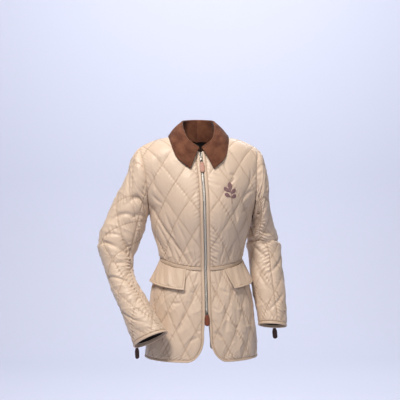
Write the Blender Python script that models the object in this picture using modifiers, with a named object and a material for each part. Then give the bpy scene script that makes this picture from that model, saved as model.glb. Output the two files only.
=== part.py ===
"""Quilted jacket, worn open-necked on a general figure, as hollow cloth walls.

Frame: metres, +Z up, the front faces -Y, +X is the wearer's left. The origin is the centre
of the neck base at the height of the neck-shoulder points.

The cloth is a set of row lofts. A row of a bodice or skirt table is one level of the garment:
it starts at the centre (front edge, centre back or neckline) and ends at the side seam or
armhole, as one cubic curve. Rows are joined smoothly down the panel. A sleeve is a row of
oval sections that starts on the armhole itself.
"""
import math

import bmesh
import bpy
import numpy as np
from mathutils import Matrix, Vector

# ---- driving dimensions (metres) ----
CLOTH = 0.0025            # wall of the quilted shell with its wadding and lining
SEAM = 0.0003             # gap between pieces at a seam
SIDE_END = 0.9985         # share of a row at which a panel stops, a seam's gap short of its end
SHOULDER_START = 0.010    # share of a row step by which a panel stays short of the shoulder seam
ARMHOLE_GAP = 0.0007      # gap between the armhole and the sleeve head
EDGE_WIDTH = 0.0095       # bound edge along the fronts, hem, vent and cuffs
EDGE_RAISE = 0.0005       # the bound edge stands this far proud of the quilting
EDGE_WALL = 0.0030        # and reaches this far in
ZIP_HALF_GAP = 0.0045     # from the zip's centre line to a front edge
BAND_TOP_FRONT = -0.4000  # waist band, top edge at the centre front
BAND_TOP_SIDE = -0.3730
BAND_TOP_BACK = -0.3900
BAND_DEPTH = 0.0110
BAND_RAISE = 0.0004       # the waist band stands this far proud of the quilting
HEM = -0.6870
ZIP_TOP = -0.0430
ZIP_BOTTOM = -0.5450
SLIDER_TOP_Z = -0.0730
SLIDER_BOTTOM_Z = -0.5380
PULL_LENGTH = 0.0300
PULL_WIDTH = 0.0140
PULL_THICKNESS = 0.0024
PULL_NECK = 0.60          # width of a pull's top, as a share of its full width
PULL_SHOULDER = 0.0080    # and the length over which it widens
PULL_FOOT_ROUND = 0.70    # roundness of its foot: 1 is a half circle
LINK_LENGTH = 0.0080
LINK_WIRE = 0.0007
CUFF_ZIP_LENGTH = 0.0850
CUFF_ZIP_WIDTH = 0.0090
CUFF_ZIP_OUT = 0.0026     # outer face above the sleeve
CUFF_ZIP_FOOT = -0.0012   # inner face, a depth below the sleeve's surface
HANDLE = 0.60             # reach of a section's handles, as a share of its half width
ROW_DROP = 0.40           # how high a row's outer handle stays, as a share of its fall

# Bodice front, one row per level, shoulder seam to waist.
# xi yi zi: centre end; xo yo zo: armhole or side end; hix hiy: reach leaving the centre;
# hox hoy: reach arriving at the side; crown: lift of the middle of the row.
FRONT_ROWS = np.array([
    # xi      yi      zi      xo      yo      zo      hix     hiy     hox     hoy    crown
    (0.0720, 0.0040, 0.0040, 0.1860, 0.0020, -0.0280, 0.0400, 0.0000, 0.0300, 0.0000, 0.0060),
    (0.0680, -0.0260, -0.0050, 0.1850, -0.0240, -0.0500, 0.0350, -0.0130, 0.0300, 0.0100, 0.0040),
    (0.0510, -0.0490, -0.0230, 0.1790, -0.0430, -0.0820, 0.0380, -0.0200, 0.0350, 0.0200, 0.0000),
    (0.0143, -0.0690, -0.0430, 0.1745, -0.0500, -0.1180, 0.0500, -0.0120, 0.0350, 0.0260, 0.0000),
    (0.0143, -0.0870, -0.0850, 0.1720, -0.0480, -0.1540, 0.0550, -0.0100, 0.0350, 0.0330, 0.0000),
    (0.0143, -0.1030, -0.1280, 0.1705, -0.0370, -0.1880, 0.0600, -0.0090, 0.0300, 0.0420, 0.0000),
    (0.0143, -0.1150, -0.1700, 0.1670, -0.0160, -0.2180, 0.0650, -0.0080, 0.0150, 0.0500, 0.0000),
    (0.0143, -0.1220, -0.2120, 0.1620, 0.0100, -0.2400, 0.0700, -0.0060, 0.0000, 0.0600, 0.0000),
    (0.0143, -0.1200, -0.2600, 0.1560, 0.0080, -0.2750, 0.0700, -0.0040, 0.0000, 0.0600, 0.0000),
    (0.0143, -0.1120, -0.3100, 0.1470, 0.0060, -0.3100, 0.0640, -0.0020, 0.0000, 0.0560, 0.0000),
    (0.0143, -0.1040, -0.3560, 0.1375, 0.0050, -0.3420, 0.0600, 0.0000, 0.0000, 0.0520, 0.0000),
    (0.0143, -0.0980, -0.4000, 0.1305, 0.0040, -0.3730, 0.0570, 0.0000, 0.0000, 0.0500, 0.0000),
])
BACK_ROWS = np.array([
    # xi      yi      zi      xo      yo      zo      hix     hiy     hox     hoy    crown
    (0.0720, 0.0040, 0.0040, 0.1860, 0.0020, -0.0280, 0.0400, 0.0000, 0.0300, 0.0000, 0.0060),
    (0.0650, 0.0320, 0.0040, 0.1850, 0.0270, -0.0500, 0.0350, 0.0080, 0.0300, -0.0080, 0.0040),
    (0.0400, 0.0560, 0.0020, 0.1810, 0.0460, -0.0820, 0.0400, 0.0100, 0.0350, -0.0160, 0.0000),
    (0.0000, 0.0640, 0.0000, 0.1775, 0.0560, -0.1180, 0.0600, 0.0000, 0.0350, -0.0220, 0.0000),
    (0.0000, 0.0850, -0.0480, 0.1760, 0.0570, -0.1540, 0.0650, 0.0000, 0.0350, -0.0280, 0.0000),
    (0.0000, 0.0990, -0.1020, 0.1740, 0.0500, -0.1880, 0.0700, 0.0000, 0.0250, -0.0360, 0.0000),
    (0.0000, 0.1050, -0.1520, 0.1690, 0.0330, -0.2180, 0.0750, 0.0000, 0.0120, -0.0420, 0.0000),
    (0.0000, 0.1060, -0.2000, 0.1620, 0.0100, -0.2400, 0.0800, 0.0000, 0.0000, -0.0520, 0.0000),
    (0.0000, 0.1030, -0.2550, 0.1560, 0.0080, -0.2750, 0.0760, 0.0000, 0.0000, -0.0520, 0.0000),
    (0.0000, 0.0960, -0.3050, 0.1470, 0.0060, -0.3100, 0.0720, 0.0000, 0.0000, -0.0490, 0.0000),
    (0.0000, 0.0870, -0.3480, 0.1375, 0.0050, -0.3420, 0.0680, 0.0000, 0.0000, -0.0450, 0.0000),
    (0.0000, 0.0810, -0.3900, 0.1305, 0.0040, -0.3730, 0.0650, 0.0000, 0.0000, -0.0420, 0.0000),
])
ARMPIT_ROW = 7
NECK_ROW = 3              # the row that starts where the neckline meets the centre

# Skirt, even steps from the waist band down to the hem.
SKIRT_ROWS = np.array([
    # front    back   half width  side y
    (-0.0980, 0.0810, 0.1305, 0.0040),
    (-0.1120, 0.1000, 0.1530, 0.0040),
    (-0.1230, 0.1130, 0.1655, 0.0040),
    (-0.1310, 0.1220, 0.1745, 0.0040),
    (-0.1370, 0.1270, 0.1780, 0.0040),
])

SKIRT_LEVELS = 8
SKIRT_COLUMNS = 9
CORNER_STEPS = 6
HEM_STEPS = 6
BODICE_EDGE_STEPS = 12
PANEL_COLUMNS = 10
SKIRT_BUNCHING = 0.85                # below 1 the columns crowd towards the side seam
VENT_BUNCHING = 1.4                  # above 1 the rows crowd towards the vent's top

# Front hem corner and back vent: the fronts are rounded away, the vent stands open.
FRONT_CORNER = (0.0550, 0.0760)      # reach across, reach up
FRONT_PART = 0.0050                  # how far each front edge swings out below the zip
FRONT_PART_SPAN = (-0.5450, -0.6050)
VENT_CORNER = (0.0100, 0.0120)
VENT_TOP = -0.4800
VENT_OPEN_LEFT = 0.0450              # wearer's left edge of the vent at the hem, from centre
VENT_OPEN_RIGHT = 0.0170
VENT_CURVE = 2.2                     # above 1 the vent opens early and then hangs straighter
VENT_BINDING_LEAD = 0.0120
VENT_BINDING_GROWTH = 0.0300

# Pocket flaps: shares of the skirt row, and how far they stand off it.
FLAP_FRONT = 0.2700
FLAP_FOOT_LEFT = 0.3500
FLAP_FOOT_RIGHT = 0.2600
FLAP_SIDE = 0.9700
FLAP_DEPTH = 0.0610
FLAP_LIFT = 0.0008
FLAP_FLARE_FRONT = 0.0030
FLAP_FLARE_SIDE = 0.0115
FLAP_FLARE_CURVE = 1.3               # above 1 the flap starts close to the skirt
FLAP_WALL = 0.0020

# Zip pieces. Depths are measured behind the surface of the fronts.
TAPE_X = (0.0010, 0.0135)
TAPE_DEPTHS = (0.0037, 0.0047)
CHAIN_HALF = 0.0030
CHAIN_DEPTHS = (0.0002, 0.0034)
CHAIN_CLEARANCE = 0.0075             # from a slider's middle to the chain's end
SLIDER_WIDTH = 0.0080
SLIDER_LENGTH = 0.0140
SLIDER_FRONT = 0.0026
SLIDER_BACK = 0.0028
LUG_WIDTH = 0.0024
LUG_REACH = 0.0032
LUG_RADIUS = 0.0026
LUG_HOLE = 0.0014
LUG_SUNK = 0.0008                    # how deep the lug is rooted in the slider's face
SLIDER_BEVEL = 0.0008
CUFF_ZIP_END = 0.0040                # from the cuff zip's end to the bound edge
LINK_HALF_WIDTH = 0.0034
FRONT_PULL_TILT = 4.0                # a front pull leans in towards the cloth, degrees
CUFF_SLIDER_BELOW = 0.0010           # cuff slider's middle, below the start of the bound edge
CUFF_SLIDER_LIFT = 0.0052            # and above the sleeve, clear of the zip under it

# Sleeves, armhole to cuff: the outer and the inner point of each oval, and its half depth.
LEFT_SLEEVE = np.array([
    # xo      yo      zo      xi      yi      zi     depth
    (0.2060, 0.0030, -0.0560, 0.1760, 0.0120, -0.2460, 0.0560),
    (0.2170, 0.0100, -0.1200, 0.1730, 0.0230, -0.2560, 0.0600),
    (0.2310, 0.0260, -0.2050, 0.1720, 0.0400, -0.2680, 0.0620),
    (0.2480, 0.0420, -0.2700, 0.1640, 0.0500, -0.2860, 0.0590),
    (0.2640, 0.0520, -0.3130, 0.1590, 0.0570, -0.3100, 0.0570),
    (0.2620, 0.0540, -0.3270, 0.1640, 0.0580, -0.3240, 0.0510),
    (0.2720, 0.0500, -0.3420, 0.1600, 0.0540, -0.3380, 0.0560),
    (0.2740, 0.0400, -0.3820, 0.1690, 0.0440, -0.3720, 0.0530),
    (0.2760, 0.0220, -0.4440, 0.1715, 0.0260, -0.4360, 0.0510),
    (0.2780, 0.0030, -0.5100, 0.1780, 0.0060, -0.5020, 0.0480),
    (0.2790, -0.0140, -0.5680, 0.1870, -0.0120, -0.5610, 0.0450),
    (0.2785, -0.0220, -0.5960, 0.1895, -0.0200, -0.5890, 0.0430),
])
RIGHT_SLEEVE = np.array([
    # xo       yo      zo      xi       yi      zi     depth
    (-0.2050, 0.0020, -0.0540, -0.1600, 0.0120, -0.2470, 0.0600),
    (-0.2290, 0.0050, -0.1200, -0.1640, 0.0140, -0.2600, 0.0620),
    (-0.2620, 0.0080, -0.1870, -0.1700, 0.0150, -0.2840, 0.0610),
    (-0.2900, 0.0080, -0.2450, -0.1800, 0.0120, -0.3160, 0.0590),
    (-0.3120, 0.0060, -0.3000, -0.1920, 0.0080, -0.3500, 0.0570),
    (-0.3130, 0.0020, -0.3280, -0.2050, 0.0000, -0.3740, 0.0520),
    (-0.3160, -0.0020, -0.3480, -0.2060, -0.0080, -0.3930, 0.0550),
    (-0.3040, -0.0100, -0.3920, -0.2060, -0.0260, -0.4180, 0.0520),
    (-0.2790, -0.0240, -0.4500, -0.1920, -0.0560, -0.4560, 0.0500),
    (-0.2500, -0.0480, -0.5140, -0.1700, -0.0900, -0.4960, 0.0480),
    (-0.2240, -0.0760, -0.5780, -0.1430, -0.1250, -0.5420, 0.0460),
    (-0.1990, -0.1030, -0.6440, -0.1110, -0.1570, -0.5880, 0.0430),
])
FRONT_SEAM = {1: (112.5, 76.0), -1: (112.5, 160.0)}  # seam angle at head and cuff, degrees
HIND_SEAM = {1: (292.5, 285.0), -1: (292.5, 342.0)}
HEAD_ROWS = 3.0                      # sections over which the head turns into the arm
SLEEVE_START = 0.045                 # share of the first step left free at the armhole
SLEEVE_HEAD_STEP = 0.40              # share of the first step at which the head turns over
CUFF_SEAM = 0.010                    # share of a step left free at the cuff's bound edge
SEAM_DEGREES = 0.25                  # half the gap between the two sleeve pieces

# Collar, centre front to centre back: the fold line and the free edge of the leaf.
COLLAR_ROWS = np.array([
    # fold x    y        z       edge x    y        z
    (0.0060, -0.0770, -0.0330, 0.0370, -0.0990, -0.0960),
    (0.0400, -0.0650, -0.0060, 0.0740, -0.0850, -0.0620),
    (0.0530, -0.0340, 0.0260, 0.0910, -0.0500, -0.0160),
    (0.0555, -0.0020, 0.0490, 0.0950, -0.0030, 0.0070),
    (0.0520, 0.0300, 0.0580, 0.0890, 0.0440, 0.0030),
    (0.0330, 0.0560, 0.0610, 0.0540, 0.0740, -0.0050),
    (0.0000, 0.0670, 0.0620, 0.0000, 0.0800, -0.0120),
])
COLLAR_FRONT_X = 0.0060   # where the collar's ends stand at the neckline, from the zip's line
LEAF_LIFT = 0.0600        # upward part of the direction in which the leaf bows
STAND_LIFT = 0.0300       # and of the direction in which the stand is set in
COLLAR_WALL = 0.0030
COLLAR_BULGE = 0.0035
STAND_INSET = 0.0042
STAND_FOOT = 0.0018

# The worn pose: the body stands a little to one side of the neck and turns at the waist.
LEAN = 0.0090
LEAN_DEPTH = 0.2200
TWIST_DEGREES = 3.0
TWIST_START = -0.2200
TWIST_DEPTH = 0.1800

MATERIALS = {
    # name: colour, roughness, metallic
    "shell": ((0.57, 0.46, 0.37, 1.0), 0.50, 0.0),
    "band": ((0.54, 0.43, 0.34, 1.0), 0.50, 0.0),
    "corduroy": ((0.10, 0.035, 0.020, 1.0), 0.85, 0.0),
    "zip_metal": ((0.34, 0.33, 0.31, 1.0), 0.30, 1.0),
    "zip_tape": ((0.10, 0.08, 0.07, 1.0), 0.80, 0.0),
    "leather": ((0.17, 0.05, 0.03, 1.0), 0.45, 0.0),
}


def clear_scene():
    """Remove every object that the file opens with."""
    for thing in list(bpy.data.objects):
        bpy.data.objects.remove(thing, do_unlink=True)


def new_material(name):
    """A Principled material with the colour, roughness and metallic value of its row."""
    colour, roughness, metallic = MATERIALS[name]
    material = bpy.data.materials.new(name)
    material.use_nodes = True
    shader = material.node_tree.nodes["Principled BSDF"]
    shader.inputs["Base Color"].default_value = colour
    shader.inputs["Roughness"].default_value = roughness
    shader.inputs["Metallic"].default_value = metallic
    return material


# ---- curves and rows ----

def smooth(t):
    """Soft step from 0 to 1 with flat ends."""
    t = np.clip(t, 0.0, 1.0)
    return t * t * (3.0 - 2.0 * t)


def rows_at(table, v):
    """Values of a table at fractional row numbers v, on a Catmull-Rom curve through its rows."""
    table = np.asarray(table, dtype=float)
    v = np.asarray(v, dtype=float)
    last = len(table) - 1
    k = np.clip(np.floor(v).astype(int), 0, last - 1)
    t = (v - k)[..., None]
    before = np.where((k > 0)[..., None], table[np.maximum(k - 1, 0)], 2 * table[k] - table[k + 1])
    after = np.where((k < last - 1)[..., None], table[np.minimum(k + 2, last)],
                     2 * table[k + 1] - table[k])
    here = table[k]
    there = table[k + 1]
    return 0.5 * (2 * here + (there - before) * t
                  + (2 * before - 5 * here + 4 * there - after) * t ** 2
                  + (3 * here - before - 3 * there + after) * t ** 3)


def bezier(p0, p1, p2, p3, u):
    """Cubic Bezier curve at u."""
    w = 1.0 - u
    return w ** 3 * p0 + 3 * w * w * u * p1 + 3 * w * u * u * p2 + u ** 3 * p3


def pose(points):
    """Lean and twist of the worn body: a shift along X and a turn about Z, both by height."""
    z = points[..., 2]
    shift = LEAN * smooth(-z / LEAN_DEPTH)
    turn = math.radians(TWIST_DEGREES) * smooth((TWIST_START - z) / TWIST_DEPTH)
    x = points[..., 0] * np.cos(turn) - points[..., 1] * np.sin(turn) + shift
    y = points[..., 0] * np.sin(turn) + points[..., 1] * np.cos(turn)
    return np.stack([x, y, z], axis=-1)


def row_loft(table, u, v, side):
    """A bodice surface: u runs along a row from centre to side, v counts the rows."""
    u, v = np.broadcast_arrays(np.asarray(u, float), np.asarray(v, float))
    xi, yi, zi, xo, yo, zo, hix, hiy, hox, hoy, crown = np.moveaxis(rows_at(table, v), -1, 0)
    xi = np.where(v >= NECK_ROW, table[-1, 0], xi)
    x = bezier(xi, xi + hix, xo - hox, xo, u)
    y = bezier(yi, yi + hiy, yo - hoy, yo, u)
    z = bezier(zi, zi + crown, zo + ROW_DROP * (zi - zo) + crown, zo, u)
    return pose(np.stack([side * x, y, z], axis=-1))


def bodice_front(u, v, side):
    """Bodice front surface of one side."""
    return row_loft(FRONT_ROWS, u, v, side)


def bodice_back(u, v, side):
    """Half of the bodice back; the other half mirrors it at the centre back."""
    return row_loft(BACK_ROWS, u, v, side)


def waist_height(u, front):
    """Height of the band's top edge along u, from the centre to the side seam."""
    centre = BAND_TOP_FRONT if front else BAND_TOP_BACK
    handle = BAND_TOP_SIDE + ROW_DROP * (centre - BAND_TOP_SIDE)
    return bezier(centre, centre, handle, BAND_TOP_SIDE, u)


def skirt(u, v, side, front):
    """Skirt surface: u from the centre to the side seam, v from the band (0) to the hem (1)."""
    u, v = np.broadcast_arrays(np.asarray(u, float), np.asarray(v, float))
    y_front, y_back, width, y_side = np.moveaxis(
        rows_at(SKIRT_ROWS, v * (len(SKIRT_ROWS) - 1)), -1, 0)
    y_centre = y_front if front else y_back
    x_centre = ZIP_HALF_GAP if front else 0.0
    x = bezier(x_centre, x_centre + HANDLE * (width - x_centre), width, width, u)
    y = bezier(y_centre, y_centre, y_side + HANDLE * (y_centre - y_side), y_side, u)
    top = waist_height(u, front) - BAND_DEPTH
    z = top + v * (HEM - top)
    return pose(np.stack([side * x, y, z], axis=-1))


def outward(surface, u, v, side, step=1e-4):
    """Unit normal of a surface by small differences, pointing out of the garment."""
    across = surface(u + step, v) - surface(u - step, v)
    down = surface(u, v + step) - surface(u, v - step)
    normal = np.cross(across, down) * -side
    return normal / np.linalg.norm(normal, axis=-1, keepdims=True)


# ---- meshes ----

def add_object(name, vertices, faces, material, collection):
    """Make a closed mesh object with its faces pointing out."""
    mesh = bpy.data.meshes.new(name)
    mesh.from_pydata([tuple(p) for p in vertices], [], faces)
    work = bmesh.new()
    work.from_mesh(mesh)
    bmesh.ops.triangulate(work, faces=work.faces[:])
    bmesh.ops.recalc_face_normals(work, faces=work.faces[:])
    work.to_mesh(mesh)
    work.free()
    mesh.materials.append(material)
    thing = bpy.data.objects.new(name, mesh)
    collection.objects.link(thing)
    return thing


def grid_faces(rows, columns):
    """Quads of a grid whose points are counted row by row."""
    return [(r * columns + c, r * columns + c + 1, (r + 1) * columns + c + 1, (r + 1) * columns + c)
            for r in range(rows - 1) for c in range(columns - 1)]


def shell(name, outer, inner, faces, material, collection):
    """Close two matching skins into one wall: every free edge gets a rim face."""
    count = len(outer)
    used = {}
    for face in faces:
        for a, b in zip(face, face[1:] + face[:1]):
            used[(a, b)] = used.get((a, b), 0) + 1
    rim = [(b, a, a + count, b + count) for (a, b) in used if (b, a) not in used]
    back = [tuple(i + count for i in reversed(face)) for face in faces]
    vertices = np.concatenate([outer, inner])
    return add_object(name, vertices, list(faces) + back + rim, material, collection)


def ridge_normals(points, normals):
    """Give the first row the normal of the shoulder seam itself, so both panels meet square."""
    run = np.gradient(points[0], axis=0)
    run = run * np.sign(run[:, 0:1])
    up = np.stack([-run[:, 2], np.zeros(len(run)), run[:, 0]], axis=-1)
    normals[0] = up / np.linalg.norm(up, axis=-1, keepdims=True)
    return normals


def cloth_wall(name, surface, u, v, side, out, depth, material, collection, ridge=False):
    """A wall over the grid u by v of a surface, from out above it to depth below it."""
    points = surface(u, v)
    normals = outward(surface, u, v, side)
    if ridge:
        normals = ridge_normals(points, normals)
    rows, columns = points.shape[:2]
    outer = (points + out * normals).reshape(-1, 3)
    inner = (points - depth * normals).reshape(-1, 3)
    return shell(name, outer, inner, grid_faces(rows, columns), material, collection)


# ---- bodice ----

def bodice_levels():
    """Row numbers of the bodice walls; the armhole ones are shared with the sleeve heads."""
    armhole = np.linspace(0.0, ARMPIT_ROW, 9)
    side_seam = np.linspace(ARMPIT_ROW, len(FRONT_ROWS) - 1, 5)[1:]
    return np.concatenate([armhole, side_seam])


def build_bodice(side, label, material, collection):
    """Bodice front of one side, a seam's gap short of the shoulder and side seams."""
    v = bodice_levels()
    v[0] += SHOULDER_START
    u = np.linspace(0.0, SIDE_END, PANEL_COLUMNS)
    u_grid, v_grid = np.meshgrid(u, v)

    def surface(a, b):
        return bodice_front(a, b, side)

    cloth_wall("bodice_front_" + label, surface, u_grid, v_grid, side, 0.0, CLOTH,
               material, collection, ridge=True)


def build_bodice_back(material, collection):
    """Bodice back in one piece: two mirrored halves that share the centre back column."""
    v = bodice_levels()
    v[0] += SHOULDER_START
    u = np.linspace(0.0, SIDE_END, PANEL_COLUMNS)
    u_grid, v_grid = np.meshgrid(u, v)
    outer = []
    inner = []
    faces = []
    keys = {}
    for side in (1, -1):
        def surface(a, b, side=side):
            return bodice_back(a, b, side)

        points = surface(u_grid, v_grid)
        normals = ridge_normals(points, -outward(surface, u_grid, v_grid, side))
        index = np.zeros(u_grid.shape, dtype=int)
        for r in range(len(v)):
            for c in range(len(u)):
                centre = c == 0 and v[r] >= NECK_ROW
                key = (0 if centre else side, r, c)
                if key not in keys:
                    keys[key] = len(outer)
                    outer.append(points[r, c])
                    normal = normals[r, c]
                    inner.append(points[r, c] - CLOTH * normal)
                index[r, c] = keys[key]
        for r in range(len(v) - 1):
            for c in range(len(u) - 1):
                quad = (index[r, c], index[r, c + 1], index[r + 1, c + 1], index[r + 1, c])
                faces.append(quad if side == 1 else quad[::-1])
    shell("bodice_back", np.array(outer), np.array(inner), faces, material, collection)


# ---- waist band ----

def band_surface(side, front):
    """The band between bodice and skirt: v runs 0 to 1 down its depth."""
    table = FRONT_ROWS if front else BACK_ROWS
    last = len(table) - 1

    def surface(u, v):
        points = row_loft(table, u, np.full(np.shape(u), float(last)), side)
        drop = np.zeros(points.shape)
        drop[..., 2] = -BAND_DEPTH * v
        return points + drop

    return surface


def build_band(material, collection):
    """Waist band: a front piece each side and one back piece, seam gaps above and below."""
    gap = SEAM / BAND_DEPTH
    v = np.linspace(gap, 1.0 - gap, 2)
    u = np.linspace(0.0, SIDE_END, PANEL_COLUMNS)
    u_grid, v_grid = np.meshgrid(u, v)
    for side, label in ((1, "left"), (-1, "right")):
        cloth_wall("waist_band_front_" + label, band_surface(side, True), u_grid, v_grid, side,
                   BAND_RAISE, CLOTH, material, collection)
    u_all = np.concatenate([-u[:0:-1], u])
    u_grid, v_grid = np.meshgrid(u_all, v)
    right = band_surface(-1, False)
    left = band_surface(1, False)

    def across(a, b):
        return np.where((a < 0)[..., None], right(-a, b), left(a, b))

    cloth_wall("waist_band_back", across, u_grid, v_grid, -1, BAND_RAISE, CLOTH,
               material, collection)


# ---- skirt and its bound edges ----

SKIRT_TOP = BAND_TOP_FRONT - BAND_DEPTH
SKIRT_TOP_BACK = BAND_TOP_BACK - BAND_DEPTH


def level_of(height, front):
    """Skirt level v whose centre lies at a height."""
    top = SKIRT_TOP if front else SKIRT_TOP_BACK
    return (height - top) / (HEM - top)


def share_of(distance, level):
    """Row share u at a distance across from the centre: Newton steps on the row's curve."""
    half_width = rows_at(SKIRT_ROWS, level * (len(SKIRT_ROWS) - 1))[..., 2] - ZIP_HALF_GAP
    target = distance / half_width
    u = target / (3.0 * HANDLE)
    for _ in range(4):
        value = bezier(0.0, HANDLE, 1.0, 1.0, u)
        slope = 3.0 * (HANDLE * (1 - u) ** 2 + 2 * (1 - HANDLE) * u * (1 - u))
        u = u - (value - target) / slope
    return u


def part_of_front(height):
    """How far a front edge has swung out below the zip's end."""
    start, end = FRONT_PART_SPAN
    return FRONT_PART * smooth((start - height) / (start - end))


def vent_opening(height, side):
    """Distance of a vent edge from the centre back: shut at the vent's top, open at the hem."""
    reach = VENT_OPEN_LEFT if side > 0 else VENT_OPEN_RIGHT
    t = np.clip((VENT_TOP - height) / (VENT_TOP - HEM), 0.0, 1.0)
    return SEAM + reach * (1.0 - (1.0 - t) ** VENT_CURVE)


def edge_border(front, side, heights, corner_steps):
    """Border of a skirt half down its edge and round its corner.

    Returns distances across, heights, and the unit direction into the panel at each point.
    """
    across, up = FRONT_CORNER if front else VENT_CORNER
    edge = part_of_front(heights) if front else vent_opening(heights, side)
    angle = np.linspace(0.0, math.pi / 2.0, corner_steps)[1:]
    corner_across = edge[-1] + across * (1.0 - np.cos(angle))
    corner_height = HEM + up * (1.0 - np.sin(angle))
    into = np.stack([up * np.cos(angle), across * np.sin(angle)], axis=-1)
    into = into / np.linalg.norm(into, axis=-1, keepdims=True)
    straight = np.stack([np.ones(len(heights)), np.zeros(len(heights))], axis=-1)
    return (np.concatenate([edge, corner_across]), np.concatenate([heights, corner_height]),
            np.concatenate([straight, into]))


def vent_binding_share(height):
    """Share of the full edge width at a height: the vent's binding grows in round its top."""
    return smooth((VENT_TOP + VENT_BINDING_LEAD - height) / VENT_BINDING_GROWTH)


def edge_heights(front):
    """Heights of a skirt half's levels down to its corner, shared with its bound edge."""
    if front:
        return np.linspace(SKIRT_TOP - SEAM, HEM + FRONT_CORNER[1], SKIRT_LEVELS)
    above = np.linspace(SKIRT_TOP_BACK - SEAM, VENT_TOP + VENT_BINDING_LEAD, 3)
    fall = np.linspace(0.0, 1.0, SKIRT_LEVELS - 1) ** VENT_BUNCHING
    below = VENT_TOP - fall * (VENT_TOP - HEM - VENT_CORNER[1])
    return np.concatenate([above, below])


def skirt_edge_grid(front, side, width, heights, corner_steps, hem_steps):
    """Row shares and levels of the bound edge: border points by distances into the panel."""
    border, height, into = edge_border(front, side, heights, corner_steps)
    reach = np.asarray(width)[None, :]
    if not front:
        reach = reach * vent_binding_share(height)[:, None]
    level = level_of(height[:, None] + reach * into[:, 1:], front)
    share = share_of(border[:, None] + reach * into[:, :1], level)
    hem_share = np.linspace(share[-1], np.full(share.shape[1], SIDE_END), hem_steps)[1:]
    hem_level = np.broadcast_to(level[-1], hem_share.shape)
    return np.concatenate([share, hem_share]), np.concatenate([level, hem_level])


def build_skirt(front, side, name, material, collection):
    """Skirt panel: rows from its inner border, set in by the bound edge, to the side seam."""
    border, height, into = edge_border(front, side, edge_heights(front), CORNER_STEPS)
    width = np.full(len(height), EDGE_WIDTH)
    if not front:
        width = width * vent_binding_share(height)
    inset = (width + SEAM)[:, None] * into
    level = level_of(height + inset[:, 1], front)
    first = share_of(border + inset[:, 0], level)
    across = np.linspace(0.0, 1.0, SKIRT_COLUMNS) ** SKIRT_BUNCHING
    share = first[:, None] + (SIDE_END - first[:, None]) * across[None, :]
    levels = np.broadcast_to(level[:, None], share.shape)

    def surface(a, b):
        return skirt(a, b, side, front)

    cloth_wall(name, surface, share, levels, skirt_sense(side, front), 0.0, CLOTH,
               material, collection)


def skirt_sense(side, front):
    """Sign that makes the normal of a front or back surface point out."""
    return side if front else -side


def front_stations():
    """Heights and Y of the centre front, bodice then skirt, at the levels of its bound edge."""
    v = np.linspace(NECK_ROW, len(FRONT_ROWS) - 1, BODICE_EDGE_STEPS)
    bodice = rows_at(FRONT_ROWS, v)
    heights = edge_heights(True)
    level = level_of(heights, True)
    skirt_y = rows_at(SKIRT_ROWS, level * (len(SKIRT_ROWS) - 1))[:, 0]
    return np.concatenate([bodice[:, 2], heights]), np.concatenate([bodice[:, 1], skirt_y])


def front_line(height):
    """Y of the centre front at a height, straight between its stations."""
    z, y = front_stations()
    return np.interp(-np.asarray(height, float), -z, y)


def build_front_edge(side, name, material, collection):
    """Bound front edge: neck to waist, on down the skirt, round the corner and along the hem."""
    width = np.array([0.0, EDGE_WIDTH])
    height = front_stations()[0][:BODICE_EDGE_STEPS]
    x = np.broadcast_to(ZIP_HALF_GAP + width, (len(height), 2))
    y = np.broadcast_to(front_line(height)[:, None], x.shape)
    z = np.broadcast_to(height[:, None], x.shape)
    bodice = pose(np.stack([side * x, y, z], axis=-1))
    bodice_out = pose(np.stack([side * x, y - 0.01, z], axis=-1)) - bodice
    share, level = skirt_edge_grid(True, side, width, edge_heights(True), CORNER_STEPS, HEM_STEPS)

    def surface(a, b):
        return skirt(a, b, side, True)

    points = np.concatenate([bodice, surface(share, level)])
    normals = np.concatenate([bodice_out / 0.01, outward(surface, share, level, side)])
    outer = (points + EDGE_RAISE * normals).reshape(-1, 3)
    inner = (points - EDGE_WALL * normals).reshape(-1, 3)
    shell(name, outer, inner, grid_faces(*points.shape[:2]), material, collection)


def build_back_edge(side, name, material, collection):
    """Bound edge of a back skirt half: down the vent, round its corner and along the hem."""
    width = np.array([0.0, EDGE_WIDTH])
    heights = edge_heights(False)
    share, level = skirt_edge_grid(False, side, width, heights[heights <= VENT_TOP],
                                   CORNER_STEPS, HEM_STEPS)

    def surface(a, b):
        return skirt(a, b, side, False)

    cloth_wall(name, surface, share, level, skirt_sense(side, False), EDGE_RAISE, EDGE_WALL,
               material, collection)


# ---- pocket flaps ----

def flap_surface(side):
    """Pocket flap over the skirt front: a runs front to side, b runs down; it stands off below."""
    front_foot = FLAP_FOOT_LEFT if side > 0 else FLAP_FOOT_RIGHT

    def surface(a, b):
        first = FLAP_FRONT + (front_foot - FLAP_FRONT) * b
        share = first + (FLAP_SIDE - first) * a
        drop = FLAP_DEPTH * b / (SKIRT_TOP - HEM)
        base = skirt(share, drop, side, True)
        normal = outward(lambda p, q: skirt(p, q, side, True), share, drop, side)
        flare = FLAP_FLARE_FRONT + (FLAP_FLARE_SIDE - FLAP_FLARE_FRONT) * a
        lift = FLAP_LIFT + flare * b ** FLAP_FLARE_CURVE
        return base + lift[..., None] * normal

    return surface


def build_flap(side, name, material, collection):
    """A pocket flap as a thin wall that starts under the waist band."""
    a, b = np.meshgrid(np.linspace(0.0, 1.0, 8), np.linspace(0.004, 1.0, 5))
    cloth_wall(name, flap_surface(side), a, b, side, FLAP_WALL, 0.0, material, collection)


# ---- sleeves ----

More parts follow.
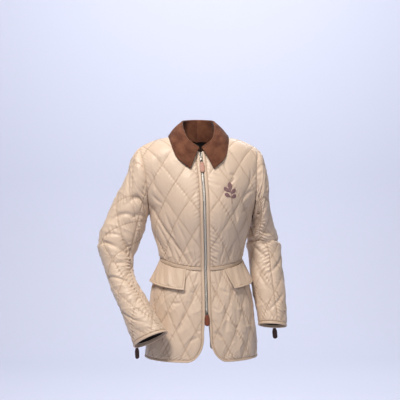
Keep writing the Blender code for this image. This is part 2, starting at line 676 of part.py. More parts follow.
def sleeve_frames(table):
    """Centre, outward half axis and front half axis of every section of a sleeve.

    The front axis is square to the arm and to the outward axis. In the sleeve head, whose
    sections still face the armhole, it points straight forward.
    """
    outer = table[:, 0:3]
    inner = table[:, 3:6]
    centre = 0.5 * (outer + inner)
    half = 0.5 * (outer - inner)
    run = np.gradient(centre, axis=0)
    front = np.cross(run, half)
    front = front / np.linalg.norm(front, axis=1, keepdims=True)
    front = front * np.where(front[:, 1:2] > 0, -1.0, 1.0)
    settled = np.clip(np.arange(len(table)) / HEAD_ROWS, 0.0, 1.0)[:, None]
    front = settled * front + (1.0 - settled) * np.array([0.0, -1.0, 0.0])
    front = front / np.linalg.norm(front, axis=1, keepdims=True) * table[:, 6:7]
    return centre, half, front


def armhole(angle, side):
    """Armhole point: 0 at the shoulder, 90 at the front, 180 at the armpit, 270 at the back."""
    angle = np.mod(angle, 360.0)
    front = bodice_front(1.0, ARMPIT_ROW * np.minimum(angle, 180.0) / 180.0, side)
    back = bodice_back(1.0, ARMPIT_ROW * np.minimum(360.0 - angle, 180.0) / 180.0, side)
    return np.where((angle <= 180.0)[..., None], front, back)


def sleeve_surface(side):
    """Sleeve surface: angle round it in degrees, w = 0 on the armhole, then one per section."""
    table = LEFT_SLEEVE if side > 0 else RIGHT_SLEEVE
    centre, half, front = sleeve_frames(table)
    last = len(table)

    def section(k, angle):
        turn = np.radians(angle)
        row = np.clip(k - 1, 0, last - 1)
        oval = (centre[row] + half[row] * np.cos(turn)[..., None]
                + front[row] * np.sin(turn)[..., None])
        return np.where((k <= 0)[..., None], armhole(angle, side), oval)

    def surface(angle, w):
        angle, w = np.broadcast_arrays(np.asarray(angle, float), np.asarray(w, float))
        k = np.clip(np.floor(w).astype(int), 0, last - 1)
        t = (w - k)[..., None]
        here = section(k, angle)
        there = section(k + 1, angle)
        before = np.where((k > 0)[..., None], section(k - 1, angle), 2 * here - there)
        after = np.where((k < last - 1)[..., None], section(np.minimum(k + 2, last), angle),
                         2 * there - here)
        return 0.5 * (2 * here + (there - before) * t
                      + (2 * before - 5 * here + 4 * there - after) * t ** 2
                      + (3 * here - before - 3 * there + after) * t ** 3)

    return surface


def sleeve_normals(surface, angle, w):
    """Unit normals of a sleeve, pointing away from its middle."""
    around = surface(angle + 0.5, w) - surface(angle - 0.5, w)
    along = surface(angle, w + 0.01) - surface(angle, w - 0.01)
    normal = np.cross(around, along)
    away = surface(angle, w) - surface(angle + 180.0, w)
    normal = normal * np.sign(np.sum(normal * away, axis=-1, keepdims=True))
    return normal / np.linalg.norm(normal, axis=-1, keepdims=True)


def sleeve_wall(name, side, angle, w, out, depth, closed, material, collection):
    """A wall over part of a sleeve; a closed one runs all the way round."""
    surface = sleeve_surface(side)
    points = surface(angle, w)
    normals = sleeve_normals(surface, angle, w)
    rows, columns = points.shape[:2]
    faces = grid_faces(rows, columns)
    if closed:
        faces += [(r * columns + columns - 1, r * columns, (r + 1) * columns,
                   (r + 1) * columns + columns - 1) for r in range(rows - 1)]
    outer = (points + out * normals).reshape(-1, 3)
    inner = (points - depth * normals).reshape(-1, 3)
    shell(name, outer, inner, faces, material, collection)


def cuff_start(side):
    """Where the cuff's bound edge begins, as a section number, and the sleeve's length per step."""
    table = LEFT_SLEEVE if side > 0 else RIGHT_SLEEVE
    centre = sleeve_frames(table)[0]
    step = float(np.linalg.norm(centre[-1] - centre[-2]))
    return len(table) - EDGE_WIDTH / step, step


def seam_angle(seam, w, last):
    """Angle of a sleeve seam at w, easing from the head to the cuff."""
    return seam[0] + (seam[1] - seam[0]) * smooth(w / last)


def build_sleeve(side, label, shell_material, band_material, collection):
    """Top sleeve, under sleeve and bound cuff of one arm."""
    table = LEFT_SLEEVE if side > 0 else RIGHT_SLEEVE
    last = len(table)
    end = cuff_start(side)[0] - CUFF_SEAM
    w = np.concatenate([[SLEEVE_START, SLEEVE_HEAD_STEP], np.arange(1.0, last), [end]])[:, None]
    front = seam_angle(FRONT_SEAM[side], w, last)
    hind = seam_angle(HIND_SEAM[side], w, last)
    share = np.linspace(0.0, 1.0, 9)[None, :]
    pieces = (("sleeve_top_", hind - 360.0, front), ("sleeve_under_", front, hind))
    for name, first, second in pieces:
        angle = first + SEAM_DEGREES + (second - first - 2 * SEAM_DEGREES) * share
        rows = np.broadcast_to(w, angle.shape)
        sleeve_wall(name + label, side, angle, rows, 0.0, CLOTH, False, shell_material, collection)
    ring = np.linspace(0.0, 360.0, 19)[None, :-1]
    cuff = np.array([cuff_start(side)[0], float(last)])[:, None]
    angle, rows = np.broadcast_arrays(ring, cuff)
    sleeve_wall("cuff_edge_" + label, side, angle, rows, EDGE_RAISE, EDGE_WALL, True,
                band_material, collection)


def build_cuff_zip(side, label, material, collection):
    """Closed zip laid on the hind seam above the cuff."""
    table = LEFT_SLEEVE if side > 0 else RIGHT_SLEEVE
    start, step = cuff_start(side)
    last = len(table)
    end = start - CUFF_ZIP_END / step
    w = np.linspace(end - CUFF_ZIP_LENGTH / step, end, 6)[:, None]
    half = math.degrees(0.5 * CUFF_ZIP_WIDTH / table[-1, 6])
    angle = seam_angle(HIND_SEAM[side], w, last) + np.array([-half, half])[None, :]
    rows = np.broadcast_to(w, angle.shape)
    sleeve_wall("cuff_zip_" + label, side, angle, rows, CUFF_ZIP_OUT, CUFF_ZIP_FOOT, False,
                material, collection)


# ---- collar ----

def collar_columns(s):
    """Side, fold, edge and neck points at s, from -6 (right front) through 0 (back) to 6."""
    s = np.asarray(s, float)
    side = np.where(s < 0, -1.0, 1.0)
    q = 6.0 - np.abs(s)
    both = rows_at(COLLAR_ROWS, q)
    fold = both[..., 0:3]
    edge = both[..., 3:6]
    front = rows_at(FRONT_ROWS, np.clip(NECK_ROW - q, 0, NECK_ROW))[..., 0:3]
    back = rows_at(BACK_ROWS, np.clip(q - NECK_ROW, 0, NECK_ROW))[..., 0:3]
    neck = np.where((q < NECK_ROW)[..., None], front, back)
    inward = np.clip(1.0 - q, 0.0, 1.0) * (FRONT_ROWS[NECK_ROW, 0] - COLLAR_FRONT_X)
    neck = neck - np.stack([inward, np.zeros_like(inward), np.zeros_like(inward)], axis=-1)
    return side, fold, edge, neck


def mirrored(points, side):
    """Points with X taken to their own side, in the worn pose."""
    return pose(points * np.stack([side, np.ones_like(side), np.ones_like(side)], axis=-1))


def collar_leaf(s, f):
    """Leaf of the collar: f from the fold line (0) to the free edge (1), bowed up and out."""
    side, fold, edge, _ = collar_columns(s)
    flat = np.stack([fold[..., 0], fold[..., 1], np.full_like(side, LEAF_LIFT)], axis=-1)
    away = flat / np.linalg.norm(flat, axis=-1, keepdims=True)
    f = np.asarray(f, float)[..., None]
    points = (1 - f) * fold + f * edge + 4 * f * (1 - f) * COLLAR_BULGE * away
    return mirrored(points, side)


def collar_stand(s, f):
    """Stand of the collar: f from the neck seam (0) up to just under the fold (1)."""
    side, fold, _, neck = collar_columns(s)
    inward = np.stack([fold[..., 0], fold[..., 1], np.full_like(side, STAND_LIFT)], axis=-1)
    inward = inward / np.linalg.norm(inward, axis=-1, keepdims=True)
    top = fold - STAND_INSET * inward
    foot = neck + np.array([0.0, 0.0, STAND_FOOT])
    f = np.asarray(f, float)[..., None]
    return mirrored((1 - f) * foot + f * top, side)


def ring_normals(surface, s, f):
    """Unit normals of a collar surface, pointing away from the neck."""
    across = surface(s + 0.01, f) - surface(s - 0.01, f)
    down = surface(s, f + 0.01) - surface(s, f - 0.01)
    normal = np.cross(across, down)
    points = surface(s, f)
    away = points - np.array([0.0, 0.0, -0.05])
    normal = normal * np.sign(np.sum(normal * away, axis=-1, keepdims=True))
    return normal / np.linalg.norm(normal, axis=-1, keepdims=True)


def build_collar(material, collection):
    """Collar leaf and stand, each a wall round the neck."""
    for name, surface, out, depth, steps in (("collar_leaf", collar_leaf, 0.0, COLLAR_WALL, 5),
                                             ("collar_stand", collar_stand, 0.0, CLOTH, 3)):
        s, f = np.meshgrid(np.linspace(-6.0, 6.0, 25), np.linspace(0.0, 1.0, steps))
        points = surface(s, f)
        normals = ring_normals(surface, s, f)
        outer = (points + out * normals).reshape(-1, 3)
        inner = (points - depth * normals).reshape(-1, 3)
        shell(name, outer, inner, grid_faces(*s.shape), material, collection)


# ---- zips ----

def zip_strip(name, x_range, z_range, depths, material, collection):
    """A strip that follows the centre front between two depths behind its surface."""
    stations = front_stations()[0]
    inside = stations[(stations < z_range[0] - 1e-4) & (stations > z_range[1] + 1e-4)]
    heights = np.concatenate([[z_range[0]], inside, [z_range[1]]])
    x, z = np.meshgrid(np.array(x_range), heights)
    y = front_line(z)
    outer = pose(np.stack([x, y + depths[0], z], axis=-1)).reshape(-1, 3)
    inner = pose(np.stack([x, y + depths[1], z], axis=-1)).reshape(-1, 3)
    shell(name, outer, inner, grid_faces(*z.shape), material, collection)


def front_frame(height):
    """Matrix on the centre front: X across, Z up the zip, -Y out of the garment."""
    low, here, high = (pose(np.array([0.0, float(front_line(z)), z]))
                       for z in (height - 0.01, height, height + 0.01))
    side = pose(np.array([0.01, float(front_line(height)), height])) - here
    return frame_matrix(here, high - low, side)


def frame_matrix(origin, up, across):
    """Matrix with Z along up, X near across, and its origin at a point."""
    up = up / np.linalg.norm(up)
    across = across - up * float(np.dot(across, up))
    across = across / np.linalg.norm(across)
    out = np.cross(up, across)
    return Matrix([(across[i], out[i], up[i], origin[i]) for i in range(3)] + [(0, 0, 0, 1)])


def cuff_frame(side):
    """Matrix on a cuff zip's slider: X round the sleeve, Z up it, -Y out of it."""
    table = LEFT_SLEEVE if side > 0 else RIGHT_SLEEVE
    start, step = cuff_start(side)
    w = start + CUFF_SLIDER_BELOW / step
    angle = seam_angle(HIND_SEAM[side], w, len(table))
    surface = sleeve_surface(side)
    here = surface(angle, w)
    up = surface(angle, w - 0.05) - surface(angle, w + 0.05)
    normal = sleeve_normals(surface, np.array(angle), np.array(w))
    across = np.cross(up, -normal)
    return frame_matrix(here + CUFF_SLIDER_LIFT * normal, up, -across)


def lug_outline():
    """Outline of the slider's lug: a flat foot, a round nose, and the hole for the link."""
    arc = np.linspace(-90.0, 90.0, 9)
    nose = [(LUG_REACH + LUG_RADIUS * math.cos(math.radians(a)),
             LUG_RADIUS * math.sin(math.radians(a))) for a in arc]
    outline = [(0.0, -LUG_RADIUS)] + nose + [(0.0, LUG_RADIUS)]
    hole = [(LUG_REACH + LUG_HOLE * math.cos(a), LUG_HOLE * math.sin(a))
            for a in np.linspace(0.0, 2 * math.pi, 13)[:-1]]
    return outline, hole


def flat_curve(name, outlines, thickness):
    """A filled 2D curve of closed outlines, extruded to a thickness."""
    curve = bpy.data.curves.new(name, "CURVE")
    curve.dimensions = "2D"
    curve.fill_mode = "BOTH"
    curve.extrude = thickness / 2.0
    for outline in outlines:
        spline = curve.splines.new("POLY")
        spline.points.add(len(outline) - 1)
        for point, (x, y) in zip(spline.points, outline):
            point.co = (x, y, 0.0, 1.0)
        spline.use_cyclic_u = True
    return curve


def mesh_of_curve(name, curve, material, collection):
    """Mesh object made from a curve, with its loose caps welded."""
    guide = bpy.data.objects.new(name + "_guide", curve)
    collection.objects.link(guide)
    evaluated = guide.evaluated_get(bpy.context.evaluated_depsgraph_get())
    mesh = bpy.data.meshes.new_from_object(evaluated)
    bpy.data.objects.remove(guide, do_unlink=True)
    work = bmesh.new()
    work.from_mesh(mesh)
    bmesh.ops.remove_doubles(work, verts=work.verts[:], dist=1e-6)
    bmesh.ops.recalc_face_normals(work, faces=work.faces[:])
    work.to_mesh(mesh)
    work.free()
    mesh.materials.clear()
    mesh.materials.append(material)
    thing = bpy.data.objects.new(name, mesh)
    collection.objects.link(thing)
    return thing


def build_slider(name, place, material, collection, cutters):
    """Slider: a bevelled block in the zip's gap with a pierced lug on its face."""
    block_mesh = bpy.data.meshes.new(name)
    work = bmesh.new()
    bmesh.ops.create_cube(work, size=1.0)
    middle = 0.5 * (SLIDER_BACK - SLIDER_FRONT)
    size = Matrix.Diagonal((SLIDER_WIDTH, SLIDER_FRONT + SLIDER_BACK, SLIDER_LENGTH, 1.0))
    bmesh.ops.transform(work, matrix=Matrix.Translation((0.0, middle, 0.0)) @ size,
                        verts=work.verts[:])
    work.to_mesh(block_mesh)
    work.free()
    block_mesh.materials.append(material)
    block = bpy.data.objects.new(name, block_mesh)
    collection.objects.link(block)
    bevel = block.modifiers.new("rounded", "BEVEL")
    bevel.width = SLIDER_BEVEL
    bevel.segments = 1
    outline, hole = lug_outline()
    lug = mesh_of_curve(name + "_lug", flat_curve(name + "_lug", [outline, hole], LUG_WIDTH),
                        material, cutters)
    lug.hide_render = True
    lug.display_type = "WIRE"
    turn = Matrix(((0, 0, 1, 0), (-1, 0, 0, 0), (0, -1, 0, 0), (0, 0, 0, 1)))
    lug.matrix_world = place @ Matrix.Translation((0.0, LUG_SUNK - SLIDER_FRONT, 0.0)) @ turn
    block.matrix_world = place
    join = block.modifiers.new("lug", "BOOLEAN")
    join.operation = "UNION"
    join.solver = "EXACT"
    join.object = lug
    return block


def tab_outline():
    """Leather tab below the link: narrow top, sides that widen, and a round foot."""
    top = -(LINK_LENGTH + LINK_WIRE + SEAM)
    foot = top - PULL_LENGTH
    half = PULL_WIDTH / 2.0
    neck = PULL_NECK * PULL_WIDTH / 2.0
    shoulder = top - PULL_SHOULDER
    arc = [(half * math.cos(a), foot + half * PULL_FOOT_ROUND * (1.0 + math.sin(a)))
           for a in np.linspace(0.0, -math.pi, 9)]
    return [(-neck, top), (neck, top), (half, shoulder)] + arc + [(-half, shoulder)]


def build_pull(label, place, tilt, materials, collection):
    """Link and leather tab that swing together on the lug's hole; their origin is on its axis."""
    hinge = place @ Matrix.Translation((0.0, LUG_SUNK - SLIDER_FRONT - LUG_REACH, 0.0))
    hinge = hinge @ Matrix.Rotation(tilt, 4, "X")
    half = LINK_HALF_WIDTH
    wire = bpy.data.curves.new(label + "_link", "CURVE")
    wire.dimensions = "3D"
    wire.bevel_depth = LINK_WIRE
    wire.bevel_resolution = 1
    spline = wire.splines.new("POLY")
    corners = [(-half, 0.0), (half, 0.0), (half, -LINK_LENGTH), (-half, -LINK_LENGTH)]
    spline.points.add(len(corners) - 1)
    for point, (x, z) in zip(spline.points, corners):
        point.co = (x, 0.0, z, 1.0)
    spline.use_cyclic_u = True
    link = bpy.data.objects.new(label + "_link", wire)
    wire.materials.append(materials["zip_metal"])
    collection.objects.link(link)
    link.matrix_world = hinge
    tab = mesh_of_curve(label + "_tab", flat_curve(label + "_tab", [tab_outline()], PULL_THICKNESS),
                        materials["leather"], collection)
    stand_up = Matrix.Rotation(math.radians(90.0), 4, "X")
    tab.matrix_world = hinge @ stand_up
    return hinge


def plumb_tilt(place):
    """Turn about a slider's X that lets a free pull hang as near plumb as its hinge allows."""
    down = place.to_3x3().inverted() @ Vector((0.0, 0.0, -1.0))
    return math.atan2(down.y, -down.z)


def main():
    """Build every piece of the jacket."""
    clear_scene()
    jacket = bpy.data.collections.new("quilted_jacket")
    cutters = bpy.data.collections.new("cutters")
    bpy.context.scene.collection.children.link(jacket)
    bpy.context.scene.collection.children.link(cutters)
    materials = {name: new_material(name) for name in MATERIALS}
    quilt = materials["shell"]
    edging = materials["band"]
    metal = materials["zip_metal"]
    for side, label in ((1, "left"), (-1, "right")):
        build_bodice(side, label, quilt, jacket)
        build_skirt(True, side, "skirt_front_" + label, quilt, jacket)
        build_skirt(False, side, "skirt_back_" + label, quilt, jacket)
        build_front_edge(side, "front_edge_" + label, edging, jacket)
        build_back_edge(side, "back_edge_" + label, edging, jacket)
        build_flap(side, "pocket_flap_" + label, quilt, jacket)
        build_sleeve(side, label, quilt, edging, jacket)
        build_cuff_zip(side, label, metal, jacket)
        x_range = (side * TAPE_X[0], side * TAPE_X[1])
        zip_strip("zip_tape_" + label, x_range, (ZIP_TOP, ZIP_BOTTOM), TAPE_DEPTHS,
                  materials["zip_tape"], jacket)
        place = cuff_frame(side)
        build_slider("cuff_slider_" + label, place, metal, jacket, cutters)
        build_pull("cuff_pull_" + label, place, plumb_tilt(place), materials, jacket)
    build_bodice_back(quilt, jacket)
    build_band(edging, jacket)
    build_collar(materials["corduroy"], jacket)
    chain_ends = (SLIDER_TOP_Z - CHAIN_CLEARANCE, SLIDER_BOTTOM_Z + CHAIN_CLEARANCE)
    zip_strip("zip_chain", (-CHAIN_HALF, CHAIN_HALF), chain_ends, CHAIN_DEPTHS, metal, jacket)
    for label, height in (("top", SLIDER_TOP_Z), ("bottom", SLIDER_BOTTOM_Z)):
        place = front_frame(height)
        build_slider("zip_slider_" + label, place, metal, jacket, cutters)
        build_pull("zip_pull_" + label, place, math.radians(FRONT_PULL_TILT), materials, jacket)


main()
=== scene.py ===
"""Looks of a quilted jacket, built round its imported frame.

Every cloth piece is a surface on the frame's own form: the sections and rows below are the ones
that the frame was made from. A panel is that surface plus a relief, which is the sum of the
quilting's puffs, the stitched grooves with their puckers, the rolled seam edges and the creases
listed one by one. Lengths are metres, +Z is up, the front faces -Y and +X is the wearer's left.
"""
import math

import bmesh
import bpy
import numpy as np
from mathutils import Matrix, Vector


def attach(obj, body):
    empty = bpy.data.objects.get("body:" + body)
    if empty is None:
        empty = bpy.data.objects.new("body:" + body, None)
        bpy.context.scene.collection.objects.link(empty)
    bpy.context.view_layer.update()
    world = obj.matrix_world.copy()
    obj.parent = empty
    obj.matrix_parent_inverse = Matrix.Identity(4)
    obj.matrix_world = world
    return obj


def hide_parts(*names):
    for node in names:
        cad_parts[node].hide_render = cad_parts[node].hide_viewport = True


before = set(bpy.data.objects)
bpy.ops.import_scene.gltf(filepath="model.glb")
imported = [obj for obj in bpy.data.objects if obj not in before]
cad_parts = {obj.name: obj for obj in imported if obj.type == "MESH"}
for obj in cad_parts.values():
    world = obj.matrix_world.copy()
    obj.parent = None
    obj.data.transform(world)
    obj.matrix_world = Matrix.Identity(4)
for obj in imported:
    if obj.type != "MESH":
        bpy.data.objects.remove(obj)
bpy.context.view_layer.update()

# ---- sizes shared with the frame ----
SEAM = 0.0003
SIDE_END = 0.9985
SHOULDER_START = 0.010
EDGE_WIDTH = 0.0095       # bound edge along the fronts, hem, vent and cuffs
ZIP_HALF_GAP = 0.0045
BAND_TOP_FRONT = -0.4000
BAND_TOP_SIDE = -0.3730
BAND_TOP_BACK = -0.3900
BAND_DEPTH = 0.0110
HEM = -0.6870
ZIP_TOP = -0.0430
ZIP_BOTTOM = -0.5450
SLIDER_TOP_Z = -0.0730
SLIDER_BOTTOM_Z = -0.5380
PULL_LENGTH = 0.0300
PULL_WIDTH = 0.0140
LINK_LENGTH = 0.0080
LINK_WIRE = 0.0007
CUFF_ZIP_LENGTH = 0.0850
HANDLE = 0.60             # reach of a section's handles, as a share of its half width
ROW_DROP = 0.40           # how high a row's outer handle stays, as a share of its fall

# Rows of the bodice, shoulder seam to waist: xi yi zi is a row's centre end, xo yo zo its side
# end, hix hiy and hox hoy its reach at either end, crown the lift of its middle.
FRONT_ROWS = np.array([
    # xi      yi      zi      xo      yo      zo      hix     hiy     hox     hoy    crown
    (0.0720, 0.0040, 0.0040, 0.1860, 0.0020, -0.0280, 0.0400, 0.0000, 0.0300, 0.0000, 0.0060),
    (0.0680, -0.0260, -0.0050, 0.1850, -0.0240, -0.0500, 0.0350, -0.0130, 0.0300, 0.0100, 0.0040),
    (0.0510, -0.0490, -0.0230, 0.1790, -0.0430, -0.0820, 0.0380, -0.0200, 0.0350, 0.0200, 0.0000),
    (0.0143, -0.0690, -0.0430, 0.1745, -0.0500, -0.1180, 0.0500, -0.0120, 0.0350, 0.0260, 0.0000),
    (0.0143, -0.0870, -0.0850, 0.1720, -0.0480, -0.1540, 0.0550, -0.0100, 0.0350, 0.0330, 0.0000),
    (0.0143, -0.1030, -0.1280, 0.1705, -0.0370, -0.1880, 0.0600, -0.0090, 0.0300, 0.0420, 0.0000),
    (0.0143, -0.1150, -0.1700, 0.1670, -0.0160, -0.2180, 0.0650, -0.0080, 0.0150, 0.0500, 0.0000),
    (0.0143, -0.1220, -0.2120, 0.1620, 0.0100, -0.2400, 0.0700, -0.0060, 0.0000, 0.0600, 0.0000),
    (0.0143, -0.1200, -0.2600, 0.1560, 0.0080, -0.2750, 0.0700, -0.0040, 0.0000, 0.0600, 0.0000),
    (0.0143, -0.1120, -0.3100, 0.1470, 0.0060, -0.3100, 0.0640, -0.0020, 0.0000, 0.0560, 0.0000),
    (0.0143, -0.1040, -0.3560, 0.1375, 0.0050, -0.3420, 0.0600, 0.0000, 0.0000, 0.0520, 0.0000),
    (0.0143, -0.0980, -0.4000, 0.1305, 0.0040, -0.3730, 0.0570, 0.0000, 0.0000, 0.0500, 0.0000),
])
BACK_ROWS = np.array([
    # xi      yi      zi      xo      yo      zo      hix     hiy     hox     hoy    crown
    (0.0720, 0.0040, 0.0040, 0.1860, 0.0020, -0.0280, 0.0400, 0.0000, 0.0300, 0.0000, 0.0060),
    (0.0650, 0.0320, 0.0040, 0.1850, 0.0270, -0.0500, 0.0350, 0.0080, 0.0300, -0.0080, 0.0040),
    (0.0400, 0.0560, 0.0020, 0.1810, 0.0460, -0.0820, 0.0400, 0.0100, 0.0350, -0.0160, 0.0000),
    (0.0000, 0.0640, 0.0000, 0.1775, 0.0560, -0.1180, 0.0600, 0.0000, 0.0350, -0.0220, 0.0000),
    (0.0000, 0.0850, -0.0480, 0.1760, 0.0570, -0.1540, 0.0650, 0.0000, 0.0350, -0.0280, 0.0000),
    (0.0000, 0.0990, -0.1020, 0.1740, 0.0500, -0.1880, 0.0700, 0.0000, 0.0250, -0.0360, 0.0000),
    (0.0000, 0.1050, -0.1520, 0.1690, 0.0330, -0.2180, 0.0750, 0.0000, 0.0120, -0.0420, 0.0000),
    (0.0000, 0.1060, -0.2000, 0.1620, 0.0100, -0.2400, 0.0800, 0.0000, 0.0000, -0.0520, 0.0000),
    (0.0000, 0.1030, -0.2550, 0.1560, 0.0080, -0.2750, 0.0760, 0.0000, 0.0000, -0.0520, 0.0000),
    (0.0000, 0.0960, -0.3050, 0.1470, 0.0060, -0.3100, 0.0720, 0.0000, 0.0000, -0.0490, 0.0000),
    (0.0000, 0.0870, -0.3480, 0.1375, 0.0050, -0.3420, 0.0680, 0.0000, 0.0000, -0.0450, 0.0000),
    (0.0000, 0.0810, -0.3900, 0.1305, 0.0040, -0.3730, 0.0650, 0.0000, 0.0000, -0.0420, 0.0000),
])
ARMPIT_ROW = 7
NECK_ROW = 3
WAIST_ROW = 11

# Skirt, even steps from the waist band down to the hem.
SKIRT_ROWS = np.array([
    # front    back   half width  side y
    (-0.0980, 0.0810, 0.1305, 0.0040),
    (-0.1120, 0.1000, 0.1530, 0.0040),
    (-0.1230, 0.1130, 0.1655, 0.0040),
    (-0.1310, 0.1220, 0.1745, 0.0040),
    (-0.1370, 0.1270, 0.1780, 0.0040),
])
SKIRT_TOP = BAND_TOP_FRONT - BAND_DEPTH
SKIRT_TOP_BACK = BAND_TOP_BACK - BAND_DEPTH
FRONT_CORNER = (0.0550, 0.0760)      # rounded front hem: reach across, reach up
FRONT_PART = 0.0050                  # how far each front edge swings out below the zip
FRONT_PART_SPAN = (-0.5450, -0.6050)
VENT_CORNER = (0.0100, 0.0120)
VENT_TOP = -0.4800
VENT_OPEN_LEFT = 0.0450
VENT_OPEN_RIGHT = 0.0170
VENT_CURVE = 2.2
VENT_BINDING_LEAD = 0.0120
HEM_EDGE_SHARE = 0.64                # the bound edge narrows to this share along the hem
HEM_EDGE_NARROW = 0.0450             # height above the hem where it is at its narrowest
HEM_EDGE_SPAN = 0.0900
VENT_BINDING_GROWTH = 0.0300

FLAP_FRONT = 0.2700
FLAP_FOOT_LEFT = 0.3500
FLAP_FOOT_RIGHT = 0.2600
FLAP_SIDE = 0.9700
FLAP_DEPTH = 0.0610
FLAP_LIFT = 0.0008
FLAP_FLARE_FRONT = 0.0030
FLAP_FLARE_SIDE = 0.0115
FLAP_FLARE_CURVE = 1.3

# Sleeves, armhole to cuff: the outer and the inner point of each oval, and its half depth.
LEFT_SLEEVE = np.array([
    # xo      yo      zo      xi      yi      zi     depth
    (0.2060, 0.0030, -0.0560, 0.1760, 0.0120, -0.2460, 0.0560),
    (0.2170, 0.0100, -0.1200, 0.1730, 0.0230, -0.2560, 0.0600),
    (0.2310, 0.0260, -0.2050, 0.1720, 0.0400, -0.2680, 0.0620),
    (0.2480, 0.0420, -0.2700, 0.1640, 0.0500, -0.2860, 0.0590),
    (0.2640, 0.0520, -0.3130, 0.1590, 0.0570, -0.3100, 0.0570),
    (0.2620, 0.0540, -0.3270, 0.1640, 0.0580, -0.3240, 0.0510),
    (0.2720, 0.0500, -0.3420, 0.1600, 0.0540, -0.3380, 0.0560),
    (0.2740, 0.0400, -0.3820, 0.1690, 0.0440, -0.3720, 0.0530),
    (0.2760, 0.0220, -0.4440, 0.1715, 0.0260, -0.4360, 0.0510),
    (0.2780, 0.0030, -0.5100, 0.1780, 0.0060, -0.5020, 0.0480),
    (0.2790, -0.0140, -0.5680, 0.1870, -0.0120, -0.5610, 0.0450),
    (0.2785, -0.0220, -0.5960, 0.1895, -0.0200, -0.5890, 0.0430),
])
RIGHT_SLEEVE = np.array([
    # xo       yo      zo      xi       yi      zi     depth
    (-0.2050, 0.0020, -0.0540, -0.1600, 0.0120, -0.2470, 0.0600),
    (-0.2290, 0.0050, -0.1200, -0.1640, 0.0140, -0.2600, 0.0620),
    (-0.2620, 0.0080, -0.1870, -0.1700, 0.0150, -0.2840, 0.0610),
    (-0.2900, 0.0080, -0.2450, -0.1800, 0.0120, -0.3160, 0.0590),
    (-0.3120, 0.0060, -0.3000, -0.1920, 0.0080, -0.3500, 0.0570),
    (-0.3130, 0.0020, -0.3280, -0.2050, 0.0000, -0.3740, 0.0520),
    (-0.3160, -0.0020, -0.3480, -0.2060, -0.0080, -0.3930, 0.0550),
    (-0.3040, -0.0100, -0.3920, -0.2060, -0.0260, -0.4180, 0.0520),
    (-0.2790, -0.0240, -0.4500, -0.1920, -0.0560, -0.4560, 0.0500),
    (-0.2500, -0.0480, -0.5140, -0.1700, -0.0900, -0.4960, 0.0480),
    (-0.2240, -0.0760, -0.5780, -0.1430, -0.1250, -0.5420, 0.0460),
    (-0.1990, -0.1030, -0.6440, -0.1110, -0.1570, -0.5880, 0.0430),
])
FRONT_SEAM = {1: (112.5, 76.0), -1: (112.5, 160.0)}  # seam angle at head and cuff, degrees
HIND_SEAM = {1: (292.5, 285.0), -1: (292.5, 342.0)}
HEAD_ROWS = 3.0

# Collar, centre front to centre back: the fold line and the free edge of the leaf.
COLLAR_ROWS = np.array([
    # fold x    y        z       edge x    y        z
    (0.0060, -0.0770, -0.0330, 0.0370, -0.0990, -0.0960),
    (0.0400, -0.0650, -0.0060, 0.0740, -0.0850, -0.0620),
    (0.0530, -0.0340, 0.0260, 0.0910, -0.0500, -0.0160),
    (0.0555, -0.0020, 0.0490, 0.0950, -0.0030, 0.0070),
    (0.0520, 0.0300, 0.0580, 0.0890, 0.0440, 0.0030),
    (0.0330, 0.0560, 0.0610, 0.0540, 0.0740, -0.0050),
    (0.0000, 0.0670, 0.0620, 0.0000, 0.0800, -0.0120),
])
COLLAR_FRONT_X = 0.0060
LEAF_LIFT = 0.0600
STAND_LIFT = 0.0300
COLLAR_BULGE = 0.0035
STAND_INSET = 0.0042
STAND_FOOT = 0.0018

# The worn pose: the body stands a little to one side of the neck and turns at the waist.
LEAN = 0.0090
LEAN_DEPTH = 0.2200
TWIST_DEGREES = 3.0
TWIST_START = -0.2200
TWIST_DEPTH = 0.1800


# ---- curves and rows ----

def smooth(t):
    """Soft step from 0 to 1 with flat ends: 3 t^2 - 2 t^3."""
    t = np.clip(t, 0.0, 1.0)
    return t * t * (3.0 - 2.0 * t)


def catmull(before, here, there, after, t):
    """Catmull-Rom curve from `here` (t 0) to `there` (t 1), led by the points on either side."""
    return 0.5 * (2 * here + (there - before) * t
                  + (2 * before - 5 * here + 4 * there - after) * t ** 2
                  + (3 * here - before - 3 * there + after) * t ** 3)


def rows_at(table, v):
    """Values of a table at fractional row numbers, on a Catmull-Rom curve through its rows."""
    v = np.asarray(v, dtype=float)
    last = len(table) - 1
    k = np.clip(np.floor(v).astype(int), 0, last - 1)
    t = (v - k)[..., None]
    here = table[k]
    there = table[k + 1]
    before = np.where((k > 0)[..., None], table[np.maximum(k - 1, 0)], 2 * here - there)
    after = np.where((k < last - 1)[..., None], table[np.minimum(k + 2, last)], 2 * there - here)
    return catmull(before, here, there, after, t)


def bezier(p0, p1, p2, p3, u):
    """Cubic Bezier curve at u."""
    w = 1.0 - u
    return w ** 3 * p0 + 3 * w * w * u * p1 + 3 * w * u * u * p2 + u ** 3 * p3


def pose(points):
    """Lean and twist of the worn body: a shift along X and a turn about Z, both by height."""
    z = points[..., 2]
    shift = LEAN * smooth(-z / LEAN_DEPTH)
    turn = math.radians(TWIST_DEGREES) * smooth((TWIST_START - z) / TWIST_DEPTH)
    x = points[..., 0] * np.cos(turn) - points[..., 1] * np.sin(turn) + shift
    y = points[..., 0] * np.sin(turn) + points[..., 1] * np.cos(turn)
    return np.stack([x, y, z], axis=-1)


